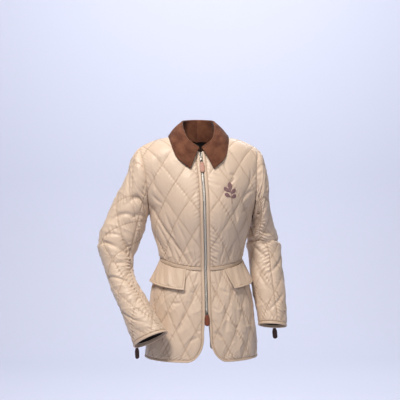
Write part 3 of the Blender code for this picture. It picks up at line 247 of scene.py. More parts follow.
def bodice(u, v, side, front):
    """Bodice surface: a cubic curve from centre (u 0) to side (u 1) in every row v."""
    table = FRONT_ROWS if front else BACK_ROWS
    u, v = np.broadcast_arrays(np.asarray(u, float), np.asarray(v, float))
    xi, yi, zi, xo, yo, zo, hix, hiy, hox, hoy, crown = np.moveaxis(rows_at(table, v), -1, 0)
    xi = np.where(v >= NECK_ROW, table[-1, 0], xi)
    x = bezier(xi, xi + hix, xo - hox, xo, u)
    y = bezier(yi, yi + hiy, yo - hoy, yo, u)
    z = bezier(zi, zi + crown, zo + ROW_DROP * (zi - zo) + crown, zo, u)
    return pose(np.stack([side * x, y, z], axis=-1))


def waist_height(u, front):
    """Height of the band's top edge along u, from the centre to the side seam."""
    centre = BAND_TOP_FRONT if front else BAND_TOP_BACK
    handle = BAND_TOP_SIDE + ROW_DROP * (centre - BAND_TOP_SIDE)
    return bezier(centre, centre, handle, BAND_TOP_SIDE, u)


def skirt(u, v, side, front):
    """Skirt surface: u from the centre to the side seam, v from the band (0) to the hem (1)."""
    u, v = np.broadcast_arrays(np.asarray(u, float), np.asarray(v, float))
    y_front, y_back, width, y_side = np.moveaxis(
        rows_at(SKIRT_ROWS, v * (len(SKIRT_ROWS) - 1)), -1, 0)
    y_centre = y_front if front else y_back
    x_centre = ZIP_HALF_GAP if front else 0.0
    x = bezier(x_centre, x_centre + HANDLE * (width - x_centre), width, width, u)
    y = bezier(y_centre, y_centre, y_side + HANDLE * (y_centre - y_side), y_side, u)
    top = waist_height(u, front) - BAND_DEPTH
    z = top + v * (HEM - top)
    return pose(np.stack([side * x, y, z], axis=-1))


def unit(vectors):
    """Vectors scaled to length one."""
    return vectors / np.maximum(np.linalg.norm(vectors, axis=-1, keepdims=True), 1e-12)


def normals_of(surface, u, v, away, steps=(1e-3, 1e-3)):
    """Unit normals from central differences, turned to the side that `away` points to."""
    du, dv = steps
    across = surface(u + du, v) - surface(u - du, v)
    down = surface(u, v + dv) - surface(u, v - dv)
    normal = unit(np.cross(across, down))
    return normal * np.where(np.sum(normal * away, axis=-1, keepdims=True) < 0, -1.0, 1.0)


def from_axis(points, lift=0.0):
    """Directions away from the body's upright axis, with a constant upward part."""
    away = points - np.array([0.005, -0.010, 0.0])
    away[..., 2] = lift
    return away


# ---- skirt borders ----

def level_of(height, front):
    """Skirt level v whose centre lies at a height."""
    top = SKIRT_TOP if front else SKIRT_TOP_BACK
    return (height - top) / (HEM - top)


def share_of(distance, level):
    """Row share u at a distance across from the centre: Newton steps on the row's curve."""
    half_width = rows_at(SKIRT_ROWS, level * (len(SKIRT_ROWS) - 1))[..., 2] - ZIP_HALF_GAP
    target = distance / half_width
    u = target / (3.0 * HANDLE)
    for _ in range(4):
        value = bezier(0.0, HANDLE, 1.0, 1.0, u)
        slope = 3.0 * (HANDLE * (1 - u) ** 2 + 2 * (1 - HANDLE) * u * (1 - u))
        u = u - (value - target) / slope
    return u


def part_of_front(height):
    """How far a front edge has swung out below the zip's end."""
    start, end = FRONT_PART_SPAN
    return FRONT_PART * smooth((start - height) / (start - end))


def vent_opening(height, side):
    """Distance of a vent edge from the centre back: shut at the vent's top, open at the hem."""
    reach = VENT_OPEN_LEFT if side > 0 else VENT_OPEN_RIGHT
    t = np.clip((VENT_TOP - height) / (VENT_TOP - HEM), 0.0, 1.0)
    return SEAM + reach * (1.0 - (1.0 - t) ** VENT_CURVE)


def vent_binding_share(height):
    """Share of the full edge width at a height: the vent's binding grows in round its top."""
    return smooth((VENT_TOP + VENT_BINDING_LEAD - height) / VENT_BINDING_GROWTH)


def hem_edge_share(height):
    """Share of the full edge width at a height: full beside the zip, narrower round the hem."""
    rise = smooth((height - HEM - HEM_EDGE_NARROW) / HEM_EDGE_SPAN)
    return HEM_EDGE_SHARE + (1.0 - HEM_EDGE_SHARE) * rise


def edge_border(front, side, heights, corner_steps):
    """Border of a skirt half: down its edge, then a quarter ellipse round its hem corner."""
    across, up = FRONT_CORNER if front else VENT_CORNER
    edge = part_of_front(heights) if front else vent_opening(heights, side)
    angle = np.linspace(0.0, math.pi / 2.0, corner_steps)[1:]
    corner_across = edge[-1] + across * (1.0 - np.cos(angle))
    corner_height = HEM + up * (1.0 - np.sin(angle))
    into = unit(np.stack([up * np.cos(angle), across * np.sin(angle)], axis=-1))
    straight = np.stack([np.ones(len(heights)), np.zeros(len(heights))], axis=-1)
    return (np.concatenate([edge, corner_across]), np.concatenate([heights, corner_height]),
            np.concatenate([straight, into]))


def skirt_edge_grid(front, side, reach, heights, corner_steps, hem_steps):
    """Row shares and levels of a bound edge: border points by distances into the panel."""
    border, height, into = edge_border(front, side, heights, corner_steps)
    reach = np.asarray(reach)[None, :]
    if not front:
        reach = reach * vent_binding_share(height)[:, None]
    reach = reach * hem_edge_share(height)[:, None]
    level = level_of(height[:, None] + reach * into[:, 1:], front)
    share = share_of(border[:, None] + reach * into[:, :1], level)
    hem_share = np.linspace(share[-1], np.full(share.shape[1], SIDE_END), hem_steps)[1:]
    hem_level = np.broadcast_to(level[-1], hem_share.shape)
    return np.concatenate([share, hem_share]), np.concatenate([level, hem_level])


# ---- sleeves ----

def sleeve_frames(table):
    """Centre, outward half axis and front half axis of every oval section of a sleeve."""
    outer = table[:, 0:3]
    inner = table[:, 3:6]
    centre = 0.5 * (outer + inner)
    half = 0.5 * (outer - inner)
    front = unit(np.cross(np.gradient(centre, axis=0), half))
    front = front * np.where(front[:, 1:2] > 0, -1.0, 1.0)
    settled = np.clip(np.arange(len(table)) / HEAD_ROWS, 0.0, 1.0)[:, None]
    front = settled * front + (1.0 - settled) * np.array([0.0, -1.0, 0.0])
    return centre, half, unit(front) * table[:, 6:7]


def armhole(angle, side):
    """Armhole point: 0 at the shoulder, 90 at the front, 180 at the armpit, 270 at the back."""
    angle = np.mod(angle, 360.0)
    front = bodice(1.0, ARMPIT_ROW * np.minimum(angle, 180.0) / 180.0, side, True)
    back = bodice(1.0, ARMPIT_ROW * np.minimum(360.0 - angle, 180.0) / 180.0, side, False)
    return np.where((angle <= 180.0)[..., None], front, back)


def sleeve_table(side):
    """The sections of one arm."""
    return LEFT_SLEEVE if side > 0 else RIGHT_SLEEVE


def sleeve_surface(side):
    """Sleeve surface: an angle round it in degrees, and w = 0 on the armhole, 1 per section."""
    table = sleeve_table(side)
    centre, half, front = sleeve_frames(table)
    last = len(table)

    def section(k, angle):
        turn = np.radians(angle)
        row = np.clip(k - 1, 0, last - 1)
        oval = (centre[row] + half[row] * np.cos(turn)[..., None]
                + front[row] * np.sin(turn)[..., None])
        return np.where((k <= 0)[..., None], armhole(angle, side), oval)

    def surface(angle, w):
        angle, w = np.broadcast_arrays(np.asarray(angle, float), np.asarray(w, float))
        k = np.clip(np.floor(w).astype(int), 0, last - 1)
        t = (w - k)[..., None]
        here = section(k, angle)
        there = section(k + 1, angle)
        before = np.where((k > 0)[..., None], section(k - 1, angle), 2 * here - there)
        after = np.where((k < last - 1)[..., None], section(np.minimum(k + 2, last), angle),
                         2 * there - here)
        return catmull(before, here, there, after, t)

    return surface


def sleeve_normals(surface, angle, w):
    """Unit normals of a sleeve, pointing away from its middle."""
    away = surface(angle, w) - surface(angle + 180.0, w)
    return normals_of(surface, angle, w, away, (0.5, 0.01))


def seam_angle(seam, w, last):
    """Angle of a sleeve seam at w, easing from the head to the cuff."""
    return seam[0] + (seam[1] - seam[0]) * smooth(w / last)


def cuff_start(side):
    """Where the cuff's bound edge begins, as a section number, and the sleeve's step length."""
    table = sleeve_table(side)
    centre = sleeve_frames(table)[0]
    step = float(np.linalg.norm(centre[-1] - centre[-2]))
    return len(table) - EDGE_WIDTH / step, step


# ---- collar ----

def collar_columns(s):
    """Side, fold, edge and neck points at s, from -6 (right front) through 0 (back) to 6."""
    s = np.asarray(s, float)
    side = np.where(s < 0, -1.0, 1.0)
    q = np.clip(6.0 - np.abs(s), 0.0, 6.0)
    both = rows_at(COLLAR_ROWS, q)
    front = rows_at(FRONT_ROWS, np.clip(NECK_ROW - q, 0, NECK_ROW))[..., 0:3]
    back = rows_at(BACK_ROWS, np.clip(q - NECK_ROW, 0, NECK_ROW))[..., 0:3]
    neck = np.where((q < NECK_ROW)[..., None], front, back)
    inward = np.clip(1.0 - q, 0.0, 1.0) * (FRONT_ROWS[NECK_ROW, 0] - COLLAR_FRONT_X)
    neck = neck - np.stack([inward, np.zeros_like(inward), np.zeros_like(inward)], axis=-1)
    return side, both[..., 0:3], both[..., 3:6], neck


def mirrored(points, side):
    """Points with X taken to their own side, in the worn pose."""
    return pose(points * np.stack([side, np.ones_like(side), np.ones_like(side)], axis=-1))


def collar_leaf(s, f):
    """Leaf of the collar: f from the fold line (0) to the free edge (1), bowed up and out."""
    side, fold, edge, _ = collar_columns(s)
    away = unit(np.stack([fold[..., 0], fold[..., 1], np.full_like(side, LEAF_LIFT)], axis=-1))
    f = np.asarray(f, float)[..., None]
    return mirrored((1 - f) * fold + f * edge + 4 * f * (1 - f) * COLLAR_BULGE * away, side)


def collar_stand(s, f):
    """Stand of the collar: f from the neck seam (0) up to just under the fold (1)."""
    side, fold, _, neck = collar_columns(s)
    inward = unit(np.stack([fold[..., 0], fold[..., 1], np.full_like(side, STAND_LIFT)], axis=-1))
    top = fold - STAND_INSET * inward
    foot = neck + np.array([0.0, 0.0, STAND_FOOT])
    f = np.asarray(f, float)[..., None]
    return mirrored((1 - f) * foot + f * top, side)


# ---- meshes ----

def make_object(name, vertices, quads, uv=None, materials=(), face_material=None, marks=None):
    """A smooth mesh object from arrays: uv and marks are given per vertex."""
    vertices = np.asarray(vertices, dtype=np.float32).reshape(-1, 3)
    quads = np.asarray(quads, dtype=np.int32)
    sides = quads.shape[1]
    mesh = bpy.data.meshes.new(name)
    mesh.vertices.add(len(vertices))
    mesh.vertices.foreach_set("co", vertices.ravel())
    mesh.loops.add(quads.size)
    mesh.loops.foreach_set("vertex_index", quads.ravel())
    mesh.polygons.add(len(quads))
    mesh.polygons.foreach_set("loop_start", np.arange(0, quads.size, sides, dtype=np.int32))
    for material in materials:
        mesh.materials.append(material)
    if face_material is not None:
        mesh.polygons.foreach_set("material_index", np.asarray(face_material, dtype=np.int32))
    mesh.update(calc_edges=True)
    if uv is not None:
        layer = mesh.uv_layers.new(name="cloth")
        layer.data.foreach_set("uv", uv.reshape(-1, 2)[quads.ravel()].astype(np.float32).ravel())
    if marks is not None:
        attribute = mesh.attributes.new("mark", "FLOAT", "POINT")
        attribute.data.foreach_set("value", np.asarray(marks, dtype=np.float32).ravel())
    mesh.validate()
    mesh.shade_smooth()
    thing = bpy.data.objects.new(name, mesh)
    bpy.context.scene.collection.objects.link(thing)
    return thing


def grid_quads(rows, columns, flip=False, ring=False, offset=0):
    """Quads of a grid counted row by row; a ring joins its last column to its first."""
    r = np.arange(rows - 1)[:, None]
    c = np.arange(columns if ring else columns - 1)[None, :]
    n = (c + 1) % columns
    quads = np.stack([r * columns + c, r * columns + n, (r + 1) * columns + n,
                      (r + 1) * columns + c], axis=-1).reshape(-1, 4) + offset
    return quads[:, ::-1] if flip else quads


def faces_out(points, normals):
    """Whether the quads of a grid of points, as counted, look against its normals."""
    middle = (slice(1, -1, 7), slice(1, -1, 7))
    du = np.gradient(points, axis=1)[middle]
    dv = np.gradient(points, axis=0)[middle]
    return float(np.mean(np.sum(np.cross(du, dv) * normals[middle], axis=-1))) < 0


def running_length(points, axis):
    """Distance along the grid lines of one axis, from their first point."""
    step = np.linalg.norm(np.diff(points, axis=axis), axis=-1)
    zero = np.zeros_like(np.take(step, [0], axis=axis))
    return np.concatenate([zero, np.cumsum(step, axis=axis)], axis=axis)


LEAST_WIDTH = 0.0101      # the least width and length that declare() takes for a cloth piece


def declare(base, turned=0.0):
    """Work out a cloth piece's cut, the width and length of its undisturbed form; nothing keeps or states
    them.

    `turned` is the width that is folded under along every edge.
    """
    width = max(float(running_length(base, 1)[:, -1].max()), LEAST_WIDTH)
    length = max(float(running_length(base, 0)[-1].max()), LEAST_WIDTH)
    width = width + 2.0 * turned
    length = length + 2.0 * turned


# ---- relief: quilting, seams and creases ----

def quilt_relief(s, t, pitch, origin, height, groove=0.40):
    """Puffs between two families of slanted stitched lines.

    With a = s/P + t/Q and b = s/P - t/Q, a line lies where a or b is whole. The puff is
    height * (|sin pi a| * |sin pi b|) ^ groove, so it falls steeply into every line.
    """
    a = (s - origin[0]) / pitch[0] + (t - origin[1]) / pitch[1]
    b = (s - origin[0]) / pitch[0] - (t - origin[1]) / pitch[1]
    puff = np.abs(np.sin(math.pi * a)) * np.abs(np.sin(math.pi * b))
    return height * (puff ** groove - 0.45), a, b


def wander(x, y, seed):
    """Smooth unevenness from -1 to 1: a sum of six plane waves whose turns come from the seed."""
    draw = np.random.default_rng(seed)
    total = np.zeros(np.broadcast(x, y).shape)
    for _ in range(6):
        turn = draw.uniform(0.0, 2.0 * math.pi)
        pace = draw.uniform(0.6, 1.6)
        phase = draw.uniform(0.0, 2.0 * math.pi)
        total = total + np.sin(pace * (x * math.cos(turn) + y * math.sin(turn)) + phase)
    return total / 3.0


def crinkle(x, y, seed, sharp=4.2):
    """Sharp meandering ridges between -0.5 and 0.5: exp(-sharp * |wander|) - 0.5."""
    first = np.exp(-sharp * np.abs(wander(x, y, seed)))
    second = np.exp(-sharp * np.abs(wander(1.7 * x + 0.4 * y, 1.9 * y - 0.3 * x, seed + 1)))
    return 0.6 * first + 0.4 * second - 0.35


def stitch_puckers(a, b, s, t, pitch, seed, depth, reach=0.0105, wave=0.0115):
    """Short ripples that cross every stitched line.

    The ripple runs along the line, its strength fades as exp(-(distance/reach)^2), and both its
    pace and its strength wander.
    """
    across = pitch[0] * pitch[1] / math.hypot(*pitch)
    total = 0.0
    for k, (line, along) in enumerate(((a, b), (b, a))):
        distance = np.abs(line - np.round(line)) * across
        place = along * math.hypot(*pitch) / wave * math.pi
        sway = wander(s / 0.020, t / 0.020, seed + k)
        patch = smooth(0.62 + 0.9 * wander(s / 0.055, t / 0.055, seed + 7 + k))
        ripple = np.sin(place + 2.2 * sway + 9.0 * np.round(line))
        total = total + depth * patch * ripple * np.exp(-(distance / reach) ** 2)
    return total


CREASE_GAIN = 1.45


def crease_field(x, y, creases):
    """Sum of listed creases.

    A crease runs on a shallow arc from (x0, y0) to (x1, y1), bowed sideways by `bow`. Across it,
    the section is -depth * (1 - 0.6 q) * exp(-q^2), with q the distance over its width: a trough
    with a raised shoulder on one side. Along it, the depth swells and dies as sin(pi k)^0.7.
    """
    total = np.zeros(np.broadcast(x, y).shape)
    for x0, y0, x1, y1, bow, depth, width in creases:
        dx, dy = x1 - x0, y1 - y0
        length = math.hypot(dx, dy)
        dx, dy = dx / length, dy / length
        k = ((x - x0) * dx + (y - y0) * dy) / length
        inside = np.clip(k, 0.0, 1.0)
        q = (-(x - x0) * dy + (y - y0) * dx - bow * 4.0 * inside * (1.0 - inside)) / width
        beyond = (k - inside) * length / width
        swell = np.sin(math.pi * np.clip(inside, 0.02, 0.98)) ** 0.7
        total = total - CREASE_GAIN * depth * swell * (1.0 - 0.6 * q) * np.exp(
            -np.abs(q) ** 1.7 - beyond * beyond)
    return total


def seam_roll(distance, depth=0.0012, width=0.0038):
    """Cloth rolling into a seam: -depth * exp(-(distance / width)^2)."""
    return -depth * np.exp(-(distance / width) ** 2)


def calm_beside(nearest, share=0.85, reach=0.006):
    """How far quilting shows beside a seam: 1 - share * exp(-(nearest / reach)^2)."""
    return 1.0 - share * np.exp(-(nearest / reach) ** 2)


def slack(s, t, seed, depth=0.0014):
    """Broad unevenness of cloth that hangs a little loose: depth * wander."""
    return depth * wander(s / 0.045, t / 0.060, seed)


def seam_puckers(distance, along, seed, depth=0.0009, reach=0.018, wave=0.0135, slant=0.6):
    """Ripples that leave a seam at a slant, strongest beside it and dying within `reach`."""
    sway = wander(along / 0.030, along / 0.050, seed)
    patch = smooth(0.55 + 0.8 * wander(along / 0.045, along * 0.0, seed + 3))
    ripple = np.sin(2.0 * math.pi * (along + slant * distance) / wave + 2.4 * sway)
    fade = np.exp(-((distance - 0.003) / reach) ** 2)
    return depth * patch * ripple * fade


def edge_distances(points):
    """Distances of a grid's points from its first and last column and its first and last row."""
    across = running_length(points, 1)
    down = running_length(points, 0)
    return across, across[:, -1:] - across, down, down[-1:] - down


RIM = 0.0042              # how far a panel's turned-in edge reaches behind its surface


def panel_mesh(points, normals, relief, uv, rims=(True, True, True, True)):
    """Vertices, quads and uv of a panel whose edges turn in.

    The shown grid is points + relief * normals. Outside each rimmed side (first row, last row,
    first column, last column) one more line of points lies RIM behind the surface.
    """
    shown = points + relief[..., None] * normals
    deep = points - RIM * normals
    pad = ((int(rims[0]), int(rims[1])), (int(rims[2]), int(rims[3])), (0, 0))
    full = np.pad(shown, pad, mode="edge")
    behind = np.pad(deep, pad, mode="edge")
    if rims[0]:
        full[0] = behind[0]
    if rims[1]:
        full[-1] = behind[-1]
    if rims[2]:
        full[:, 0] = behind[:, 0]
    if rims[3]:
        full[:, -1] = behind[:, -1]
    quads = grid_quads(full.shape[0], full.shape[1], flip=faces_out(points, normals))
    return full.reshape(-1, 3), quads, np.pad(uv, pad, mode="edge").reshape(-1, 2)


# ---- stitches ----

STITCHES = {}


def queue_dashes(key, spot, normal, width, lift):
    """Queue thread dashes, each given by its start, middle and end and a normal at each.

    A dash is a low roof of nine points: both ends lie in the cloth and the middle stands proud.
    """
    run = unit(spot[:, 2:3] - spot[:, 0:1])
    side = np.cross(normal, run) * width
    rise = np.array([-0.6, 1.0, -0.6])[None, :, None] * width + lift
    left = spot + rise * normal + side
    crest = spot + (rise + width) * normal
    right = spot + rise * normal - side
    STITCHES.setdefault(key, []).append(np.stack([left, crest, right], axis=2))


def add_stitches(key, points, normals, pitch, length, width=0.00045, lift=0.00015):
    """Queue stitches along a line of points, one dash every `pitch`."""
    total = running_length(points[None], 1)[0]
    if total[-1] < 2.0 * pitch:
        return
    starts = np.arange(0.3 * pitch, total[-1] - pitch, pitch)
    where = starts[:, None] + length * np.array([0.0, 0.5, 1.0])[None, :]
    spot = np.stack([np.interp(where, total, points[:, i]) for i in range(3)], axis=-1)
    normal = unit(np.stack([np.interp(where, total, normals[:, i]) for i in range(3)], axis=-1))
    queue_dashes(key, spot, normal, width, lift)


def build_stitches(key, name, material, body="jacket"):
    """Join every queued dash of one thread into a single mesh."""
    dashes = np.concatenate(STITCHES.pop(key))
    count = len(dashes)
    base = (np.arange(count) * 9)[:, None, None]
    cell = np.array([[0, 1, 4, 3], [1, 2, 5, 4], [3, 4, 7, 6], [4, 5, 8, 7]])[None]
    thing = make_object(name, dashes.reshape(-1, 3), (base + cell).reshape(-1, 4)[:, ::-1],
                        materials=[material])
    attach(thing, body)
    return thing


def lattice_lines(lines, shown, normals, first_row=2, last_row=-2):
    """Rows of crossing points where a lattice value passes whole numbers, one list per line.

    Each grid row meets a slanted line at most once, so the crossing is found for all rows at
    once by the change of floor() between neighbours, and is read by linear interpolation.
    """
    found = []
    low, high = int(math.floor(lines.min())) + 1, int(math.ceil(lines.max()))
    for whole in range(low, high):
        gap = lines - whole
        change = gap[:, :-1] * gap[:, 1:] < 0
        rows = np.flatnonzero(change.any(axis=1))
        rows = rows[(rows >= first_row) & (rows < lines.shape[0] + last_row)]
        if len(rows) < 6:
            continue
        for run in np.split(rows, np.flatnonzero(np.diff(rows) > 1) + 1):
            if len(run) < 6:
                continue
            column = change[run].argmax(axis=1)
            g0 = gap[run, column]
            share = (g0 / (g0 - gap[run, column + 1]))[:, None]
            spot = shown[run, column] * (1 - share) + shown[run, column + 1] * share
            turn = normals[run, column] * (1 - share) + normals[run, column + 1] * share
            found.append((spot, unit(turn)))
    return found


QUILT_STITCH = (0.0042, 0.0028)      # pitch and length of the quilting stitches
TOP_STITCH = (0.0036, 0.0025)        # and of the topstitching


def stitch_quilting(a, b, shown, normals):
    """Queue the stitches of both families of quilting lines of a panel."""
    for lines in (a, b):
        for spot, turn in lattice_lines(lines, shown, normals):
            add_stitches("quilting", spot, turn, *QUILT_STITCH)


# ---- materials ----

def new_group(name, inputs, outputs):
    """An empty shader group with named float, colour or vector sockets."""
    group = bpy.data.node_groups.new(name, "ShaderNodeTree")
    for label, kind, value in inputs:
        socket = group.interface.new_socket(name=label, in_out="INPUT", socket_type="NodeSocket" + kind)
        if value is not None:
            socket.default_value = value
    for label, kind in outputs:
        group.interface.new_socket(name=label, in_out="OUTPUT", socket_type="NodeSocket" + kind)
    return group, group.nodes.new("NodeGroupInput"), group.nodes.new("NodeGroupOutput")


def node(tree, kind, links=(), values=(), **settings):
    """A shader node with its settings, its linked inputs and its set inputs."""
    made = tree.nodes.new("ShaderNode" + kind)
    for key, value in settings.items():
        setattr(made, key, value)
    for key, value in dict(values).items():
        made.inputs[key].default_value = value
    for key, source in dict(links).items():
        tree.links.new(source, made.inputs[key])
    return made


def math_node(tree, operation, first, second=None):
    """A Math node of two values, each a socket or a number."""
    made = tree.nodes.new("ShaderNodeMath")
    made.operation = operation
    for i, value in enumerate((first, second)):
        if value is None:
            continue
        if isinstance(value, (int, float)):
            made.inputs[i].default_value = value
        else:
            tree.links.new(value, made.inputs[i])
    return made.outputs[0]


def mix_colour(tree, factor, first, second, blend="MIX"):
    """A colour Mix node; factor and colours are sockets or constants."""
    made = tree.nodes.new("ShaderNodeMix")
    made.data_type = "RGBA"
    made.blend_type = blend
    for index, value in ((0, factor), (6, first), (7, second)):
        if isinstance(value, (int, float, tuple)):
            made.inputs[index].default_value = value
        else:
            tree.links.new(value, made.inputs[index])
    return made.outputs[2]


def crossed_threads():
    """Group: a woven surface, the product of two sine rows along the cloth's own axes."""
    group, given, result = new_group(
        "crossed_threads", [("Cloth", "Vector", None), ("Threads per metre", "Float", 2200.0)],
        [("Height", "Float")])
    parts = node(group, "SeparateXYZ", {"Vector": given.outputs["Cloth"]})
    pace = math_node(group, "MULTIPLY", given.outputs["Threads per metre"], math.pi)
    warp = math_node(group, "SINE", math_node(group, "MULTIPLY", parts.outputs["X"], pace))
    weft = math_node(group, "SINE", math_node(group, "MULTIPLY", parts.outputs["Y"], pace))
    group.links.new(math_node(group, "MULTIPLY", warp, weft), result.inputs["Height"])
    return group


def crumple():
    """Group: fine creases of thin cloth, ridged noise at two sizes, and a broad unevenness."""
    group, given, result = new_group(
        "crumple", [("Vector", "Vector", None), ("Scale", "Float", 60.0)],
        [("Height", "Float"), ("Broad", "Float")])
    broad = node(group, "TexNoise", {"Vector": given.outputs["Vector"]},
                 {"Scale": 9.0, "Detail": 3.0, "Roughness": 0.55})
    shifted = node(group, "VectorMath", {"Vector": given.outputs["Vector"]}, operation="MULTIPLY")
    shifted.inputs[1].default_value = (1.0, 1.0, 0.6)
    fine = node(group, "TexNoise", {"Vector": shifted.outputs[0], "Scale": given.outputs["Scale"]},
                {"Detail": 4.0, "Roughness": 0.6, "Distortion": 0.8})
    ridge = math_node(group, "ABSOLUTE", math_node(group, "SUBTRACT", fine.outputs[0], 0.5))
    tall = math_node(group, "SUBTRACT", 1.0, math_node(group, "MULTIPLY", ridge, 3.0))
    group.links.new(tall, result.inputs["Height"])
    group.links.new(broad.outputs[0], result.inputs["Broad"])
    return group


def wales():
    """Group: cord ribs, |sin| of the distance across them, with a broken pile on top."""
    group, given, result = new_group(
        "wales", [("Cloth", "Vector", None), ("Ribs per metre", "Float", 420.0)],
        [("Height", "Float"), ("Valley", "Float"), ("Nap", "Float")])
    parts = node(group, "SeparateXYZ", {"Vector": given.outputs["Cloth"]})
    wobble = node(group, "TexNoise", {"Vector": given.outputs["Cloth"]},
                  {"Scale": 40.0, "Detail": 2.0})
    sway = math_node(group, "MULTIPLY", wobble.outputs[0], 0.0012)
    turned = math_node(group, "MULTIPLY", math_node(group, "ADD", parts.outputs["X"], sway),
                       math_node(group, "MULTIPLY", given.outputs["Ribs per metre"], math.pi))
    rib = math_node(group, "ABSOLUTE", math_node(group, "SINE", turned))
    round_rib = math_node(group, "POWER", rib, 0.6)
    pile = node(group, "TexNoise", {"Vector": given.outputs["Cloth"]},
                {"Scale": 1400.0, "Detail": 2.0, "Roughness": 0.7})
    brushed = node(group, "TexNoise", {"Vector": given.outputs["Cloth"]},
                   {"Scale": 22.0, "Detail": 3.0, "Roughness": 0.6})
    height = math_node(group, "ADD", round_rib, math_node(group, "MULTIPLY", pile.outputs[0], 0.35))
    group.links.new(height, result.inputs["Height"])
    # Valley is 1 between the ribs, where the corduroy finish paints shade
    group.links.new(math_node(group, "SUBTRACT", 1.0, rib), result.inputs["Valley"])
    group.links.new(brushed.outputs[0], result.inputs["Nap"])
    return group


def hide_grain():
    """Group: leather grain, cells of two sizes, with a broad mottling."""
    group, given, result = new_group(
        "hide_grain", [("Vector", "Vector", None), ("Scale", "Float", 900.0)],
        [("Height", "Float"), ("Mottle", "Float")])
    cells = node(group, "TexVoronoi", {"Vector": given.outputs["Vector"],
                                       "Scale": given.outputs["Scale"]})
    mottle = node(group, "TexNoise", {"Vector": given.outputs["Vector"]},
                  {"Scale": 160.0, "Detail": 4.0, "Roughness": 0.65})
    height = math_node(group, "ADD", cells.outputs["Distance"],
                       math_node(group, "MULTIPLY", mottle.outputs[0], 0.5))
    group.links.new(height, result.inputs["Height"])
    group.links.new(mottle.outputs[0], result.inputs["Mottle"])
    return group


GROUPS = {"threads": crossed_threads(), "crumple": crumple(), "wales": wales(),
          "grain": hide_grain()}


def placed(tree, key, links, values=()):
    """A placed shader group with its inputs linked or set."""
    made = tree.nodes.new("ShaderNodeGroup")
    made.node_tree = GROUPS[key]
    for name, source in links.items():
        tree.links.new(source, made.inputs[name])
    for name, value in dict(values).items():
        made.inputs[name].default_value = value
    return made


def new_finish(name, roughness=0.5, metallic=0.0, **constants):
    """A node material: its tree, its Principled shader and its texture coordinates."""
    material = bpy.data.materials.new(name)
    material.use_nodes = True
    tree = material.node_tree
    shader = tree.nodes["Principled BSDF"]
    shader.inputs["Roughness"].default_value = roughness
    shader.inputs["Metallic"].default_value = metallic
    for key, value in constants.items():
        shader.inputs[key.replace("_", " ")].default_value = value
    return material, tree, shader, tree.nodes.new("ShaderNodeTexCoord")


def bump(tree, shader, height, distance, strength=1.0, below=None):
    """A Bump node on the shader's Normal, stacked on another where `below` is given."""
    made = node(tree, "Bump", {"Height": height}, {"Distance": distance, "Strength": strength})
    if below is not None:
        tree.links.new(below, made.inputs["Normal"])
    tree.links.new(made.outputs[0], shader.inputs["Normal"])
    return made.outputs[0]


def satin_cloth(name, colour, deep, crumple_depth=0.0007, sheen=0.25, roughness=0.42):
    """Thin satin nylon: a close weave, fine crumples, broad painted shade, and painted shade along the
    stitched lines and seams.
    """
    material, tree, shader, spots = new_finish(
        name, roughness, Sheen_Weight=sheen, Sheen_Roughness=0.35, Specular_IOR_Level=0.42)
    creased = placed(tree, "crumple", {"Vector": spots.outputs["Object"]}, {"Scale": 55.0})
    woven = placed(tree, "threads", {"Cloth": spots.outputs["UV"]})
    mark = node(tree, "Attribute", attribute_name="mark")
    # Painted shade: broad noise darkens the colour by up to 14 percent, standing in for the shade of
    # loose folds.
    shade = mix_colour(tree, creased.outputs["Broad"], colour, tuple(
        0.86 * c for c in colour[:3]) + (1.0,))
    # Painted shade: the mark attribute pulls the colour towards the deep colour in stitched grooves and
    # along seams.
    line = math_node(tree, "MULTIPLY", mark.outputs["Fac"], 0.60)
    tree.links.new(mix_colour(tree, line, shade, deep), shader.inputs["Base Color"])
    rough = math_node(tree, "ADD", roughness - 0.05,
                      math_node(tree, "MULTIPLY", creased.outputs["Broad"], 0.14))
    tree.links.new(rough, shader.inputs["Roughness"])
    first = bump(tree, shader, creased.outputs["Height"], crumple_depth, 0.55)
    bump(tree, shader, woven.outputs["Height"], 0.00006, 0.4, first)
    return material


def corduroy_cloth(name, colour, deep, tip):
    """Corduroy: ribs along the cloth, painted shade in the valleys between them, and a nap that is
    brushed in patches.
    """
    material, tree, shader, spots = new_finish(
        name, 0.80, Sheen_Weight=0.10, Sheen_Roughness=0.4, Specular_IOR_Level=0.22)
    ribs = placed(tree, "wales", {"Cloth": spots.outputs["UV"]})
    spread = node(tree, "MapRange", {"Value": ribs.outputs["Nap"]},
                  {"From Min": 0.36, "From Max": 0.66})
    brushed = mix_colour(tree, spread.outputs[0], colour, tip)
    # painted shade: the valleys between the ribs are pulled towards the deep colour
    valley_shade = math_node(tree, "MULTIPLY", ribs.outputs["Valley"], 0.75)
    tree.links.new(mix_colour(tree, valley_shade, brushed, deep), shader.inputs["Base Color"])
    bump(tree, shader, ribs.outputs["Height"], 0.0006, 0.8)
    return material


def plain_cloth(name, colour, deep, threads=900.0, depth=0.0002, roughness=0.75):
    """Woven tape, lining or thread: a visible weave and an uneven shade."""
    material, tree, shader, spots = new_finish(name, roughness, Sheen_Weight=0.1)
    creased = placed(tree, "crumple", {"Vector": spots.outputs["Object"]}, {"Scale": 90.0})
    woven = placed(tree, "threads", {"Cloth": spots.outputs["UV"]}, {"Threads per metre": threads})
    shade = mix_colour(tree, creased.outputs["Broad"], colour, deep)
    tree.links.new(shade, shader.inputs["Base Color"])
    bump(tree, shader, woven.outputs["Height"], depth, 0.6)
    return material


def worn_leather(name, colour, deep):
    """Smooth leather: grain, mottled tone and a soft polish."""
    material, tree, shader, spots = new_finish(name, 0.42, Coat_Weight=0.15, Coat_Roughness=0.3)
    grain = placed(tree, "grain", {"Vector": spots.outputs["Object"]})
    mark = node(tree, "Attribute", attribute_name="mark")
    tone = mix_colour(tree, grain.outputs["Mottle"], colour, deep)
    edge = mix_colour(tree, mark.outputs["Fac"], tone, deep)
    tree.links.new(edge, shader.inputs["Base Color"])
    bump(tree, shader, grain.outputs["Height"], 0.00012, 0.6)
    return material


